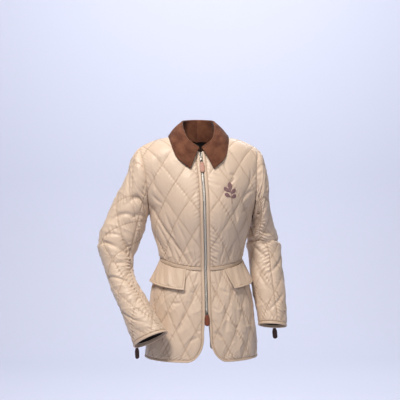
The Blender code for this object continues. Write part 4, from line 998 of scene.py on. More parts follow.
def aged_metal(name, colour, dull, roughness):
    """Nickel: polished with a cloudy tarnish that dulls it in patches."""
    material, tree, shader, spots = new_finish(name, roughness, 1.0)
    clouds = placed(tree, "grain", {"Vector": spots.outputs["Object"]}, {"Scale": 1500.0})
    tree.links.new(mix_colour(tree, clouds.outputs["Mottle"], colour, dull),
                   shader.inputs["Base Color"])
    rough = math_node(tree, "ADD", roughness - 0.08,
                      math_node(tree, "MULTIPLY", clouds.outputs["Mottle"], 0.22))
    tree.links.new(rough, shader.inputs["Roughness"])
    bump(tree, shader, clouds.outputs["Height"], 0.00004, 0.3)
    return material


FINISHES = {
    "shell": satin_cloth("shell_satin", (0.68, 0.525, 0.400, 1), (0.40, 0.27, 0.18, 1)),
    "band": satin_cloth("binding_satin", (0.64, 0.485, 0.36, 1), (0.42, 0.29, 0.20, 1),
                        crumple_depth=0.0004),
    "corduroy": corduroy_cloth("collar_corduroy", (0.110, 0.034, 0.017, 1),
                               (0.030, 0.009, 0.005, 1), (0.235, 0.092, 0.047, 1)),
    "lining": plain_cloth("dark_lining", (0.035, 0.023, 0.020, 1), (0.022, 0.014, 0.012, 1),
                          700.0, 0.0001, 0.5),
    # The tape is beige; this darker beige is painted shade, for the shade the tape lies in beside the
    # teeth.
    "tape": plain_cloth("zip_tape", (0.26, 0.195, 0.145, 1), (0.19, 0.14, 0.10, 1), 1400.0),
    "thread": plain_cloth("sewing_thread", (0.60, 0.45, 0.32, 1), (0.48, 0.34, 0.23, 1), 4000.0),
    "collar_thread": plain_cloth("collar_thread", (0.11, 0.045, 0.026, 1),
                                 (0.07, 0.028, 0.016, 1), 4000.0),
    "sprig": plain_cloth("sprig_thread", (0.29, 0.165, 0.165, 1), (0.22, 0.12, 0.125, 1), 4000.0,
                         0.0002, 0.5),
    "teeth": aged_metal("aged_nickel", (0.74, 0.71, 0.66, 1), (0.46, 0.43, 0.39, 1), 0.34),
    "sliders": aged_metal("dark_nickel", (0.33, 0.31, 0.29, 1), (0.20, 0.18, 0.16, 1), 0.36),
    "rust_leather": worn_leather("rust_leather", (0.25, 0.065, 0.028, 1), (0.13, 0.032, 0.015, 1)),
    "pale_leather": worn_leather("pale_leather", (0.50, 0.27, 0.20, 1), (0.36, 0.17, 0.12, 1)),
    "dark_leather": worn_leather("dark_leather", (0.085, 0.030, 0.022, 1), (0.045, 0.016, 0.012, 1)),
}


def finish_piece(piece, slot_name, *nodes, body="jacket"):
    """Hang a piece on its body and hide the frame nodes that it stands for; slot_name is not used."""
    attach(piece, body)
    if nodes:
        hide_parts(*nodes)
    return piece


# ---- bodice ----

STEP = 0.0024             # spacing of a panel's grid
PUFF = 0.0036             # height of a quilting puff
PUCKER_DEPTH = 0.0011     # ripples that cross the stitched lines
BODICE_CRUMPLE = 0.0024
SKIRT_CRUMPLE = 0.0032
BODICE_PITCH = (0.084, 0.113)
BODICE_ORIGIN = (0.030, -0.303)      # a crossing of the stitched lines, from the front edge
SKIRT_PITCH = (0.060, 0.113)
SKIRT_ORIGIN = (0.033, -0.591)
SLEEVE_PITCH = (0.078, 0.112)
SLEEVE_ORIGIN = (0.030, -0.036)
SLEEVE_PUFF = 0.0033


def even_rows(surface, first, last, u=0.5, step=STEP):
    """Row numbers that lie an even distance apart down a surface."""
    fine = np.linspace(first, last, 600)
    length = running_length(surface(np.full(600, u), fine)[:, None], 0)[:, 0]
    count = int(length[-1] / step) + 2
    return np.interp(np.linspace(0.0, length[-1], count), length, fine)


def even_shares(surface, v, first=0.0, last=SIDE_END, step=STEP):
    """Row shares that lie an even distance apart across a surface at row v."""
    fine = np.linspace(first, last, 600)
    length = running_length(surface(fine, np.full(600, v))[None], 1)[0]
    count = int(length[-1] / step) + 2
    return np.interp(np.linspace(0.0, length[-1], count), length, fine)


def chest_depth(z):
    """Cloth height t for a height z: z stretched where the chest slopes back to the shoulder."""
    v = np.linspace(0.0, WAIST_ROW, 200)
    rows = rows_at(FRONT_ROWS, v)
    run = np.hypot(np.gradient(rows[:, 1]), np.gradient(rows[:, 2]))
    length = np.cumsum(run)
    t = length[-1] - length + BAND_TOP_FRONT
    return np.interp(-np.asarray(z), -rows[:, 2], t)


# Creases of the bodice fronts: (s0, t0, s1, t1, bow, depth, width), s from the front edge.
RIGHT_BODICE_CREASES = (
    (0.176, -0.215, 0.052, -0.388, 0.008, 0.0034, 0.0065),
    (0.168, -0.262, 0.128, -0.372, -0.006, 0.0026, 0.0060),
    (0.118, -0.228, 0.092, -0.312, 0.004, 0.0024, 0.0055),
    (0.080, -0.262, 0.052, -0.352, -0.004, 0.0022, 0.0050),
    (0.052, -0.335, 0.026, -0.396, 0.003, 0.0024, 0.0045),
    (0.110, -0.320, 0.082, -0.392, 0.005, 0.0028, 0.0050),
    (0.142, -0.330, 0.116, -0.384, -0.004, 0.0024, 0.0045),
    (0.024, -0.330, 0.010, -0.392, 0.003, 0.0018, 0.0040),
    (0.166, -0.170, 0.126, -0.205, 0.006, 0.0022, 0.0060),
    (0.160, -0.100, 0.150, -0.165, -0.005, 0.0020, 0.0055),
    (0.118, -0.050, 0.128, -0.110, 0.005, 0.0014, 0.0060),
    (0.190, -0.290, 0.165, -0.360, 0.004, 0.0020, 0.0045),
)
LEFT_BODICE_CREASES = (
    (0.082, -0.218, 0.100, -0.262, 0.003, 0.0034, 0.0050),
    (0.060, -0.062, 0.072, -0.108, -0.004, 0.0022, 0.0045),
    (0.072, -0.108, 0.094, -0.118, 0.003, 0.0020, 0.0040),
    (0.094, -0.120, 0.070, -0.142, 0.002, 0.0018, 0.0040),
    (0.014, -0.104, 0.050, -0.132, 0.003, 0.0016, 0.0040),
    (0.010, -0.132, 0.040, -0.148, -0.002, 0.0012, 0.0040),
    (0.166, -0.162, 0.122, -0.196, -0.006, 0.0024, 0.0060),
    (0.168, -0.190, 0.118, -0.232, 0.006, 0.0026, 0.0055),
    (0.176, -0.236, 0.112, -0.300, -0.008, 0.0024, 0.0060),
    (0.150, -0.300, 0.118, -0.372, 0.005, 0.0026, 0.0050),
    (0.100, -0.318, 0.078, -0.388, 0.004, 0.0022, 0.0045),
    (0.060, -0.330, 0.044, -0.392, -0.003, 0.0022, 0.0045),
    (0.160, -0.092, 0.148, -0.150, 0.005, 0.0018, 0.0055),
    (0.004, -0.318, 0.034, -0.332, 0.002, 0.0014, 0.0035),
    (0.004, -0.346, 0.030, -0.354, -0.002, 0.0016, 0.0035),
    (0.004, -0.368, 0.028, -0.380, 0.002, 0.0014, 0.0035),
)
# Creases of the back, s from the centre back to either side.
BACK_CREASES = (
    (-0.020, -0.330, -0.060, -0.392, 0.004, 0.0024, 0.0055),
    (0.024, -0.320, 0.058, -0.390, -0.005, 0.0026, 0.0055),
    (0.092, -0.300, 0.074, -0.386, 0.006, 0.0024, 0.0060),
    (-0.100, -0.290, -0.084, -0.380, -0.006, 0.0026, 0.0060),
    (0.168, -0.150, 0.096, -0.215, 0.010, 0.0028, 0.0070),
    (-0.172, -0.160, -0.104, -0.235, -0.010, 0.0028, 0.0070),
    (0.178, -0.215, 0.118, -0.262, 0.006, 0.0024, 0.0060),
    (-0.180, -0.225, -0.120, -0.290, -0.006, 0.0022, 0.0060),
    (0.150, -0.070, 0.130, -0.140, 0.006, 0.0018, 0.0060),
    (-0.150, -0.060, -0.136, -0.130, -0.005, 0.0018, 0.0060),
    (-0.060, -0.020, 0.050, -0.026, 0.006, 0.0014, 0.0060),
    (0.002, -0.330, 0.006, -0.392, 0.002, 0.0018, 0.0045),
)


def bodice_grid(side, front):
    """Grid of a bodice panel with its cloth coordinates: points, normals, s, t and row numbers."""
    def surface(u, v):
        return bodice(u, v, side, front)

    v = even_rows(surface, SHOULDER_START, WAIST_ROW)
    u = even_shares(surface, ARMPIT_ROW)
    u_grid, v_grid = np.meshgrid(u, v)
    points = surface(u_grid, v_grid)
    normals = normals_of(surface, u_grid, v_grid, from_axis(points, 0.05))
    arc = running_length(points, 1)
    table = FRONT_ROWS if front else BACK_ROWS
    start = np.where(v_grid[:, :1] < NECK_ROW, rows_at(table, v_grid[:, :1])[..., 0], table[-1, 0])
    total = arc[:, -1:]
    chest = float(np.interp(ARMPIT_ROW, v, total[:, 0]))
    full = np.where(v_grid[:, :1] > ARMPIT_ROW, chest / total, 1.0)
    s = start - table[-1, 0] + arc * full
    return points, normals, s, chest_depth(points[..., 2]), v_grid


def worn_place(t):
    """Share of crumpling by cloth height: 0.35 on the upper chest and 1.3 at the waist.

    It is 0.35 + 0.95 * exp(-((t + 0.375) / 0.085)^2), with a soft step of 0.75 below the waist.
    """
    near_waist = np.exp(-((t + 0.375) / 0.085) ** 2)
    return 0.35 + 0.95 * near_waist + 0.75 * smooth((-t - 0.42) / 0.06)


def quilted_relief(s, t, nearest, pitch, origin, creases, seed, puckers, crumples):
    """Relief of quilted cloth with its two lattice values.

    Puffs, line puckers, slack, crumples and creases are added up, fade within 6 mm of a seam,
    where the cloth rolls under, and `puckers` is the share of the full PUCKER_DEPTH.
    """
    quilt, a, b = quilt_relief(s, t, pitch, origin, PUFF)
    relief = quilt + puckers * stitch_puckers(a, b, s, t, pitch, seed, PUCKER_DEPTH)
    relief = relief + slack(s, t, seed + 11) + crumples + crease_field(s, t, creases)
    return relief * calm_beside(nearest) + seam_roll(nearest), a, b


def bodice_relief(s, t, points, creases, origin, seed, seams):
    """Relief of a bodice panel: calm on the chest, crumpled at the waist, gathered at its seams.

    `seams` weighs the puckers that leave the first and last column and the first and last row.
    """
    left, right, top, bottom = edge_distances(points)
    nearest = np.minimum(np.minimum(left, right), np.minimum(top, bottom))
    worn = worn_place(t)
    crumples = BODICE_CRUMPLE * crinkle(s / 0.012, t / 0.026, seed + 12) * worn
    relief, a, b = quilted_relief(s, t, nearest, BODICE_PITCH, origin, creases, seed,
                                  0.3 + 0.7 * worn, crumples)
    pull = np.minimum(0.25 + 0.7 * worn, 1.0)
    for weight, distance, along in zip(seams, (left, right, top, bottom), (t, t, s, s)):
        if weight:
            relief = relief + weight * pull * seam_puckers(distance, along, seed + 20)
    return relief, a, b, nearest


def groove_shade_marks(a, b, pitch, nearest):
    """Painted shade by nearness to a stitched line or a seam: 1 on it, 0 from 3 mm away."""
    across = pitch[0] * pitch[1] / math.hypot(*pitch)
    gap = np.minimum(np.abs(a - np.round(a)), np.abs(b - np.round(b))) * across
    return np.maximum(np.exp(-(gap / 0.0016) ** 2), 0.5 * np.exp(-(nearest / 0.0018) ** 2))


def quilted_panel(name, cad, points, normals, relief, s, t, a, b, pitch, nearest):
    """One quilted panel with turned edges, and the stitches along its lines; its shown points."""
    vertices, quads, uv = panel_mesh(points, normals, relief, np.stack([s, t], axis=-1))
    # painted shade in the stitched grooves and along the seams, carried in the mark attribute
    marks = np.pad(groove_shade_marks(a, b, pitch, nearest), 1, mode="edge")
    piece = make_object(name, vertices, quads, uv, [FINISHES["shell"]], marks=marks)
    shown = points + relief[..., None] * normals
    stitch_quilting(a, b, shown, normals)
    finish_piece(piece, "shell", cad)
    declare(points, RIM)
    return shown


def build_bodice_fronts():
    """Both fronts of the bodice, each with its own creases."""
    for side, label, creases, seed in ((1, "left", LEFT_BODICE_CREASES, 31),
                                       (-1, "right", RIGHT_BODICE_CREASES, 53)):
        points, normals, s, t, _ = bodice_grid(side, True)
        relief, a, b, nearest = bodice_relief(s, t, points, creases, BODICE_ORIGIN, seed,
                                              (1.4, 1, 0.6, 1.3))
        shown = quilted_panel("quilted_front_" + label, "bodice_front_" + label, points, normals,
                              relief, s, t, a, b, BODICE_PITCH, nearest)
        queue_lining("bodice", points, normals, crease_field(s, t, creases) + slack(s, t, seed + 11))
        if side > 0:
            stitch_sprig(s, t, shown, normals)


def build_bodice_back():
    """The back in two halves of one grid, joined down the centre back."""
    halves = []
    for side in (1, -1):
        points, normals, s, t, rows = bodice_grid(side, False)
        halves.append((points, normals, s, t, rows))
    count = 0
    all_vertices, all_quads, all_uv, all_marks = [], [], [], []
    for side, (points, normals, s, t, rows) in zip((1, -1), halves):
        relief, a, b, _ = bodice_relief(side * s, t, points, BACK_CREASES,
                                        (0.0, BODICE_ORIGIN[1]), 71, (0, 1, 0.6, 1))
        left, right, top, bottom = edge_distances(points)
        neck = np.where(rows < NECK_ROW, left, 1.0)
        nearest = np.minimum(np.minimum(neck, right), np.minimum(top, bottom))
        relief = relief - np.where(rows >= NECK_ROW, seam_roll(left), 0.0) * (nearest > 0.008)
        vertices, quads, uv = panel_mesh(points, normals, relief,
                                         np.stack([side * s, t], axis=-1))
        columns = points.shape[1] + 2
        column = quads.min(axis=1) % columns
        row = quads.min(axis=1) // columns
        at_neck = rows[np.clip(row - 1, 0, len(rows) - 1), 0] < NECK_ROW
        quads = quads[(column > 0) | at_neck]
        # painted shade in the stitched grooves and along the seams, carried in the mark attribute
        marks = groove_shade_marks(a, b, BODICE_PITCH, nearest)
        shown = points + relief[..., None] * normals
        stitch_quilting(a, b, shown, normals)
        queue_lining("bodice", points, normals, crease_field(side * s, t, BACK_CREASES)
                     + slack(side * s, t, 82, 0.0013))
        all_vertices.append(vertices)
        all_quads.append(quads + count)
        all_uv.append(uv)
        all_marks.append(np.pad(marks, 1, mode="edge").ravel())
        count += len(vertices)
    vertices = np.concatenate(all_vertices)
    piece = make_object("quilted_back", vertices, np.concatenate(all_quads),
                        np.concatenate(all_uv), [FINISHES["shell"]],
                        marks=np.concatenate(all_marks))
    weld(piece)
    finish_piece(piece, "shell", "bodice_back")


def weld(piece, distance=2e-5):
    """Join points that lie on each other."""
    work = bmesh.new()
    work.from_mesh(piece.data)
    bmesh.ops.remove_doubles(work, verts=work.verts[:], dist=distance)
    work.to_mesh(piece.data)
    work.free()


# ---- embroidered sprig ----

SPRIG_PLACE = (0.0700, -0.1700)      # middle of the sprig on the left chest, in cloth coordinates
SPRIG_THREAD = 0.00070
# Leaves: foot x, foot y, tip x, tip y, half width, all from the sprig's middle.
SPRIG_LEAVES = (
    (0.0000, 0.0060, 0.0010, 0.0350, 0.0078),
    (0.0008, -0.0020, 0.0215, 0.0125, 0.0068),
    (-0.0004, 0.0020, -0.0210, 0.0180, 0.0068),
    (0.0016, -0.0160, 0.0215, -0.0060, 0.0064),
    (0.0006, -0.0130, -0.0200, -0.0020, 0.0064),
)


def on_panel(s_wanted, t_wanted, s, t, tables):
    """Read grid tables at cloth coordinates, by Newton steps on the grid's row and column."""
    gap = (s - s_wanted.mean()) ** 2 + (t - t_wanted.mean()) ** 2
    i0, j0 = np.unravel_index(int(np.argmin(gap)), s.shape)
    i = np.full(s_wanted.shape, float(i0))
    j = np.full(s_wanted.shape, float(j0))
    slopes = [np.gradient(s, axis=0), np.gradient(s, axis=1),
              np.gradient(t, axis=0), np.gradient(t, axis=1)]

    def read(table):
        a = np.clip(i.astype(int), 0, s.shape[0] - 2)
        b = np.clip(j.astype(int), 0, s.shape[1] - 2)
        p, q = i - a, j - b
        if table.ndim == 3:
            p, q = p[..., None], q[..., None]
        return ((1 - p) * ((1 - q) * table[a, b] + q * table[a, b + 1])
                + p * ((1 - q) * table[a + 1, b] + q * table[a + 1, b + 1]))

    for _ in range(12):
        si, sj, ti, tj = (read(table) for table in slopes)
        ds = s_wanted - read(s)
        dt = t_wanted - read(t)
        det = si * tj - sj * ti
        i = np.clip(i + (ds * tj - dt * sj) / det, 1.0, s.shape[0] - 3.0)
        j = np.clip(j + (dt * si - ds * ti) / det, 1.0, s.shape[1] - 3.0)
    return [read(table) for table in tables]


def stitch_sprig(s, t, shown, normals):
    """Queue a sprig of five satin-stitched leaves and its stem on the chest.

    A leaf's half width is w * sin(pi k)^0.8 along its midrib, and its threads slant forward from
    the midrib to its edge, one every SPRIG_THREAD on either side.
    """
    starts, ends = [], []
    for x0, y0, x1, y1, width in SPRIG_LEAVES:
        foot, tip = np.array([x0, y0]), np.array([x1, y1])
        rib = tip - foot
        length = float(np.hypot(*rib))
        k = np.arange(0.5 * SPRIG_THREAD, length, SPRIG_THREAD)[:, None] / length
        across = np.array([-rib[1], rib[0]]) / length
        reach = width * np.sin(math.pi * np.clip(k, 0.0, 1.0)) ** 0.8
        middle = foot + k * rib
        for way in (1.0, -1.0):
            starts.append(middle + way * 0.0003 * across)
            ends.append(middle + way * reach * across + 0.45 * reach * rib / length)
    k = np.linspace(0.0, 1.0, 46)[:, None]
    stem = np.concatenate([0.0020 * np.sin(3.0 * k) + 0.0040 * (1 - k) ** 2,
                           -0.0340 + 0.0430 * k], axis=1)
    starts.append(stem[:-1] + np.array([-0.0009, 0.0])[None])
    ends.append(stem[1:] + np.array([0.0009, 0.0])[None])
    first, last = np.concatenate(starts), np.concatenate(ends)
    flat = np.stack([first, 0.5 * (first + last), last], axis=1)
    spot, turn = on_panel(SPRIG_PLACE[0] + flat[..., 0], SPRIG_PLACE[1] + flat[..., 1], s, t,
                          [shown, normals])
    queue_dashes("sprig", spot, unit(turn), 0.00052, 0.0004)


# ---- waist band ----

def build_band():
    """The waist band, a padded cord-like strip with a stitched line along either side.

    Across its depth k the section rises as 0.0010 * sin(pi k)^0.5 and both long edges turn in.
    """
    k = np.linspace(0.02, 0.98, 12)
    for name, side, front, cad in (("waist_band_left", 1, True, "waist_band_front_left"),
                                   ("waist_band_right", -1, True, "waist_band_front_right"),
                                   ("waist_band_rear", 1, False, "waist_band_back")):
        def surface(u, depth, side=side, front=front):
            here = np.where(u < 0, -side, side)
            table = FRONT_ROWS if front else BACK_ROWS
            last = np.full(np.shape(u), float(len(table) - 1))
            both = [bodice(np.abs(u), last, way, front) for way in (1, -1)]
            points = np.where((here > 0)[..., None], both[0], both[1])
            drop = np.zeros(points.shape)
            drop[..., 2] = -BAND_DEPTH * depth
            return points + drop

        u = even_shares(lambda a, v: surface(a, np.zeros_like(a)), 0.0, step=0.0016)
        if not front:
            u = np.concatenate([-u[:0:-1], u])
        u_grid, k_grid = np.meshgrid(u, k)
        points = surface(u_grid, k_grid)
        normals = normals_of(surface, u_grid, k_grid, from_axis(points))
        along = running_length(points, 1)
        ripple = np.sin(2 * math.pi * along / 0.0085 + 2.0 * wander(along / 0.03, k_grid, 5))
        edge = np.exp(-(np.minimum(k_grid, 1 - k_grid) / 0.22) ** 2)
        relief = 0.0010 * np.sin(math.pi * k_grid) ** 0.5 + 0.00025 * ripple * edge
        vertices, quads, uv = panel_mesh(points, normals, relief,
                                         np.stack([along, points[..., 2]], axis=-1))
        # painted shade along both long edges of the band, where it meets the panels
        groove = np.exp(-((np.minimum(k_grid, 1 - k_grid) - 0.02) / 0.10) ** 2)
        piece = make_object(name, vertices, quads, uv, [FINISHES["band"]],
                            marks=np.pad(0.3 * groove, 1, mode="edge"))
        finish_piece(piece, "band", cad)
        declare(points, 0.5 * BAND_DEPTH)
        shown = points + relief[..., None] * normals
        for line in (2, 9):
            add_stitches("edging", shown[line], normals[line], *TOP_STITCH)


# ---- skirt ----

RIGHT_SKIRT_CREASES = (
    (0.020, -0.440, 0.052, -0.520, 0.004, 0.0020, 0.0060),
    (0.060, -0.500, 0.096, -0.600, -0.006, 0.0022, 0.0070),
    (0.016, -0.560, 0.040, -0.640, 0.004, 0.0018, 0.0055),
    (0.120, -0.520, 0.140, -0.640, 0.006, 0.0022, 0.0070),
    (0.006, -0.470, 0.030, -0.478, 0.002, 0.0012, 0.0035),
    (0.006, -0.598, 0.032, -0.590, 0.002, 0.0012, 0.0035),
    (0.014, -0.402, 0.024, -0.446, 0.003, 0.0022, 0.0038),
    (0.028, -0.402, 0.042, -0.452, -0.003, 0.0022, 0.0040),
    (0.004, -0.404, 0.010, -0.436, 0.002, 0.0018, 0.0034),
    (0.060, -0.478, 0.096, -0.492, 0.004, 0.0018, 0.0042),
    (0.078, -0.505, 0.118, -0.512, -0.004, 0.0018, 0.0042),
    (0.100, -0.476, 0.134, -0.500, 0.004, 0.0020, 0.0045),
    (0.034, -0.486, 0.056, -0.474, 0.003, 0.0018, 0.0040),
    (0.072, -0.540, 0.086, -0.596, -0.004, 0.0018, 0.0045),
    (0.024, -0.610, 0.060, -0.632, 0.004, 0.0016, 0.0045),
)
LEFT_SKIRT_CREASES = (
    (0.018, -0.430, 0.048, -0.500, -0.004, 0.0020, 0.0060),
    (0.064, -0.510, 0.052, -0.610, 0.005, 0.0022, 0.0065),
    (0.130, -0.500, 0.146, -0.640, -0.006, 0.0022, 0.0070),
    (0.100, -0.520, 0.090, -0.640, 0.004, 0.0020, 0.0065),
    (0.006, -0.452, 0.034, -0.448, 0.002, 0.0012, 0.0035),
    (0.006, -0.560, 0.030, -0.570, 0.002, 0.0012, 0.0035),
    (0.012, -0.402, 0.020, -0.440, -0.003, 0.0020, 0.0038),
    (0.030, -0.402, 0.046, -0.462, 0.004, 0.0024, 0.0042),
    (0.050, -0.462, 0.080, -0.482, -0.004, 0.0020, 0.0042),
    (0.090, -0.474, 0.124, -0.492, 0.004, 0.0020, 0.0045),
    (0.018, -0.520, 0.044, -0.548, 0.004, 0.0018, 0.0042),
    (0.074, -0.560, 0.104, -0.590, -0.004, 0.0020, 0.0045),
    (0.016, -0.594, 0.050, -0.618, 0.004, 0.0018, 0.0045),
    (0.112, -0.600, 0.138, -0.650, 0.004, 0.0018, 0.0045),
)
HIND_SKIRT_CREASES = (
    (0.030, -0.430, 0.046, -0.500, 0.004, 0.0020, 0.0060),
    (0.090, -0.430, 0.100, -0.540, -0.005, 0.0022, 0.0070),
    (0.140, -0.470, 0.150, -0.600, 0.005, 0.0022, 0.0070),
    (0.062, -0.520, 0.072, -0.640, 0.004, 0.0018, 0.0060),
)


def skirt_cloth(u, v, front):
    """Cloth coordinates on the skirt: the row's share times one reference width, and height."""
    fine = np.linspace(0.0, 1.0, 400)
    row = skirt(fine, np.full(400, 0.5), 1, front)
    length = running_length(row[None], 1)[0]
    start = ZIP_HALF_GAP if front else 0.0
    s = start + np.interp(u, fine, length)
    top = SKIRT_TOP if front else SKIRT_TOP_BACK
    t = top + v * (HEM - top)
    return s, t


def border_distance(points, border):
    """Distance of every point of a grid to the nearest point of a border line."""
    flat = points.reshape(-1, 3)
    found = np.full(len(flat), 1.0)
    for part in np.array_split(np.arange(len(border)), max(len(border) // 40, 1)):
        gap = np.linalg.norm(flat[:, None, :] - border[None, part, :], axis=-1)
        found = np.minimum(found, gap.min(axis=1))
    return found.reshape(points.shape[:-1])


def flap_clearance(side, u, v):
    """How high the skirt's cloth may rise under its flap: the flap's own gap, open elsewhere."""
    first, flare, drop = flap_measures(side, u, v)
    a = (u - first) / (FLAP_SIDE - first)
    gap = FLAP_LIFT + flare * np.clip(drop, 0.0, 1.0) ** FLAP_FLARE_CURVE - 0.0012
    outside = 0.2 * np.maximum(np.maximum(-a, a - 1.0), 0.0) + 0.061 * np.maximum(drop - 1.0, 0.0)
    return gap + 0.9 * outside


def build_skirt_half(front, side, label):
    """One quilted half of the skirt: rows from its inner border, set in by the bound edge."""
    kind = "front" if front else "back"

    def surface(u, v):
        return skirt(u, v, side, front)

    top = (SKIRT_TOP if front else SKIRT_TOP_BACK) - SEAM
    corner = FRONT_CORNER[1] if front else VENT_CORNER[1]
    heights = np.linspace(top, HEM + corner, int((top - HEM - corner) / STEP))
    share, level = skirt_edge_grid(front, side, [EDGE_WIDTH + SEAM], heights, 44, 2)
    first, level = share[:-1, 0], level[:-1, 0]
    across = np.linspace(0.0, 1.0, 84)
    u = first[:, None] + (SIDE_END - first[:, None]) * across[None, :]
    v = np.broadcast_to(level[:, None], u.shape)
    points = surface(u, v)
    normals = normals_of(surface, u, v, from_axis(points))
    s, t = skirt_cloth(u, v, front)
    creases = HIND_SKIRT_CREASES
    seed = 97 + side
    if front:
        creases = LEFT_SKIRT_CREASES if side > 0 else RIGHT_SKIRT_CREASES
        seed = 83 + side
    origin = SKIRT_ORIGIN if front else (0.0, SKIRT_ORIGIN[1])
    _, right, above, _ = edge_distances(points)
    near = border_distance(points, np.concatenate([points[:, 0], points[-1]]))
    nearest = np.minimum(np.minimum(near, right), above)
    crumples = SKIRT_CRUMPLE * crinkle(s / 0.014, t / 0.022, seed + 12)
    relief, a, b = quilted_relief(s, t, nearest, SKIRT_PITCH, origin, creases, seed, 1.0, crumples)
    relief = relief + 1.3 * seam_puckers(near, s + t, seed + 20) + seam_puckers(above, s, seed + 4)
    relief = relief + seam_puckers(right, t, seed + 5)
    if front:
        relief = np.minimum(relief, flap_clearance(side, u, v))
    quilted_panel("quilted_skirt_" + kind + "_" + label, "skirt_" + kind + "_" + label, points,
                  normals, relief, s, t, a, b, SKIRT_PITCH, nearest)
    calm = calm_beside(nearest)
    soft = crease_field(s, t, creases) * calm + slack(s, t, seed + 11, 0.0013)
    if front:
        soft = np.minimum(soft, flap_clearance(side, u, v))
    queue_lining("skirt", points, normals, soft * calm)


# ---- lining ----

LINING_DEPTH = 0.0046     # how far the lining lies behind the outer surface
LININGS = {}


def queue_lining(key, points, normals, relief):
    """Keep every fourth line of a panel as a lining sheet that faces the wearer."""
    rows = np.unique(np.append(np.arange(0, points.shape[0], 4), points.shape[0] - 1))
    columns = np.unique(np.append(np.arange(0, points.shape[1], 4), points.shape[1] - 1))
    pick = np.ix_(rows, columns)
    inner = points[pick] + (relief[pick] - LINING_DEPTH)[..., None] * normals[pick]
    LININGS.setdefault(key, []).append((inner, normals[pick]))


def build_linings():
    """Lining of the bodice, of the skirt and of each sleeve, every one a joined set of sheets."""
    for key in ("bodice", "skirt", "sleeve_left", "sleeve_right"):
        vertices, quads, uv = [], [], []
        count = 0
        for inner, normals in LININGS[key]:
            rows, columns = inner.shape[:2]
            flip = not faces_out_small(inner, normals)
            vertices.append(inner.reshape(-1, 3))
            quads.append(grid_quads(rows, columns, flip, offset=count))
            place = np.stack([running_length(inner, 1), running_length(inner, 0)], axis=-1)
            uv.append(place.reshape(-1, 2))
            count += rows * columns
        piece = make_object("lining_" + key, np.concatenate(vertices), np.concatenate(quads),
                            np.concatenate(uv), [FINISHES["lining"]])
        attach(piece, "jacket")


def faces_out_small(points, normals):
    """Whether the quads of a coarse grid, as counted, look against its normals."""
    du = np.gradient(points, axis=1)
    dv = np.gradient(points, axis=0)
    return float(np.mean(np.sum(np.cross(du, dv) * normals, axis=-1))) < 0


# ---- bound edges ----

EDGE_ROUND = 0.00175      # radius of a bound edge


def edge_profile():
    """Profile of a bound edge: reach into the panel and height above the shell, outside first.

    It starts tucked in at the seam, swells, turns round the edge on a half circle and runs back
    inside the garment.
    """
    turn = np.radians(np.linspace(90.0, 270.0, 11))
    outer = [(0.0099, -0.0016), (0.0096, -0.0006), (0.0091, 0.0001), (0.0084, 0.0003),
             (0.0079, 0.0002), (0.0073, 0.0005), (0.0062, 0.0009), (0.0048, 0.0012),
             (0.0034, 0.0013), (0.0025, 0.0012)]
    nose = [(EDGE_ROUND * (1.0 + math.cos(a)), -0.0008 + 0.00185 * math.sin(a)) for a in turn]
    inner = [(0.0040, -0.0029), (0.0070, -0.0031), (0.0094, -0.0032)]
    table = np.array(outer + nose + inner)
    return table[:, 0], table[:, 1]


def front_stations():
    """Heights and Y of the centre front, neck to waist and on down to the hem's corner."""
    v = np.linspace(NECK_ROW, WAIST_ROW, 12)
    rows = rows_at(FRONT_ROWS, v)
    heights = np.linspace(SKIRT_TOP - SEAM, HEM + FRONT_CORNER[1], 7)
    depth = rows_at(SKIRT_ROWS, level_of(heights, True) * (len(SKIRT_ROWS) - 1))[:, 0]
    return np.concatenate([rows[:, 2], heights]), np.concatenate([rows[:, 1], depth])


def front_line(height):
    """Y of the centre front at a height."""
    z, y = front_stations()
    return np.interp(-np.asarray(height, float), -z, y)


def front_edge_lines(side, reach):
    """Points and normals of the front's bound edge for a list of reaches into the panel."""
    height = np.linspace(FRONT_ROWS[NECK_ROW, 2], SKIRT_TOP, 190)
    x = np.broadcast_to(ZIP_HALF_GAP + reach[None, :], (len(height), len(reach)))
    y = np.broadcast_to(front_line(height)[:, None], x.shape)
    z = np.broadcast_to(height[:, None], x.shape)
    upper = pose(np.stack([side * x, y, z], axis=-1))
    ahead = unit(pose(np.stack([side * x, y - 0.01, z], axis=-1)) - upper)
    below = np.linspace(SKIRT_TOP - 0.0015, HEM + FRONT_CORNER[1], 110)
    share, level = skirt_edge_grid(True, side, reach, below, 44, 80)

    def surface(u, v):
        return skirt(u, v, side, True)

    lower = surface(share, level)
    out = normals_of(surface, share, level, from_axis(lower))
    return np.concatenate([upper, lower]), np.concatenate([ahead, out])


def back_edge_lines(side, reach):
    """The same for the back's edge: down the vent, round its corner and along the hem."""
    heights = np.linspace(VENT_TOP, HEM + VENT_CORNER[1], 110)
    share, level = skirt_edge_grid(False, side, reach, heights, 24, 90)

    def surface(u, v):
        return skirt(u, v, side, False)

    points = surface(share, level)
    return points, normals_of(surface, share, level, from_axis(points))


def edge_relief(height, reach, along, seed):
    """Height of a bound edge with its gathers: ripples that fade at the nose and the seam."""
    sway = wander(along / 0.022, along / 0.031, seed)
    patch = smooth(0.5 + 0.7 * wander(along / 0.05, along * 0.0, seed + 2))
    middle = np.exp(-((reach - 0.0060) / 0.0028) ** 2)
    ripple = np.sin(2.0 * math.pi * along / 0.0078 + 2.4 * sway)
    return height + 0.00042 * patch * ripple * middle + 0.0003 * sway * middle


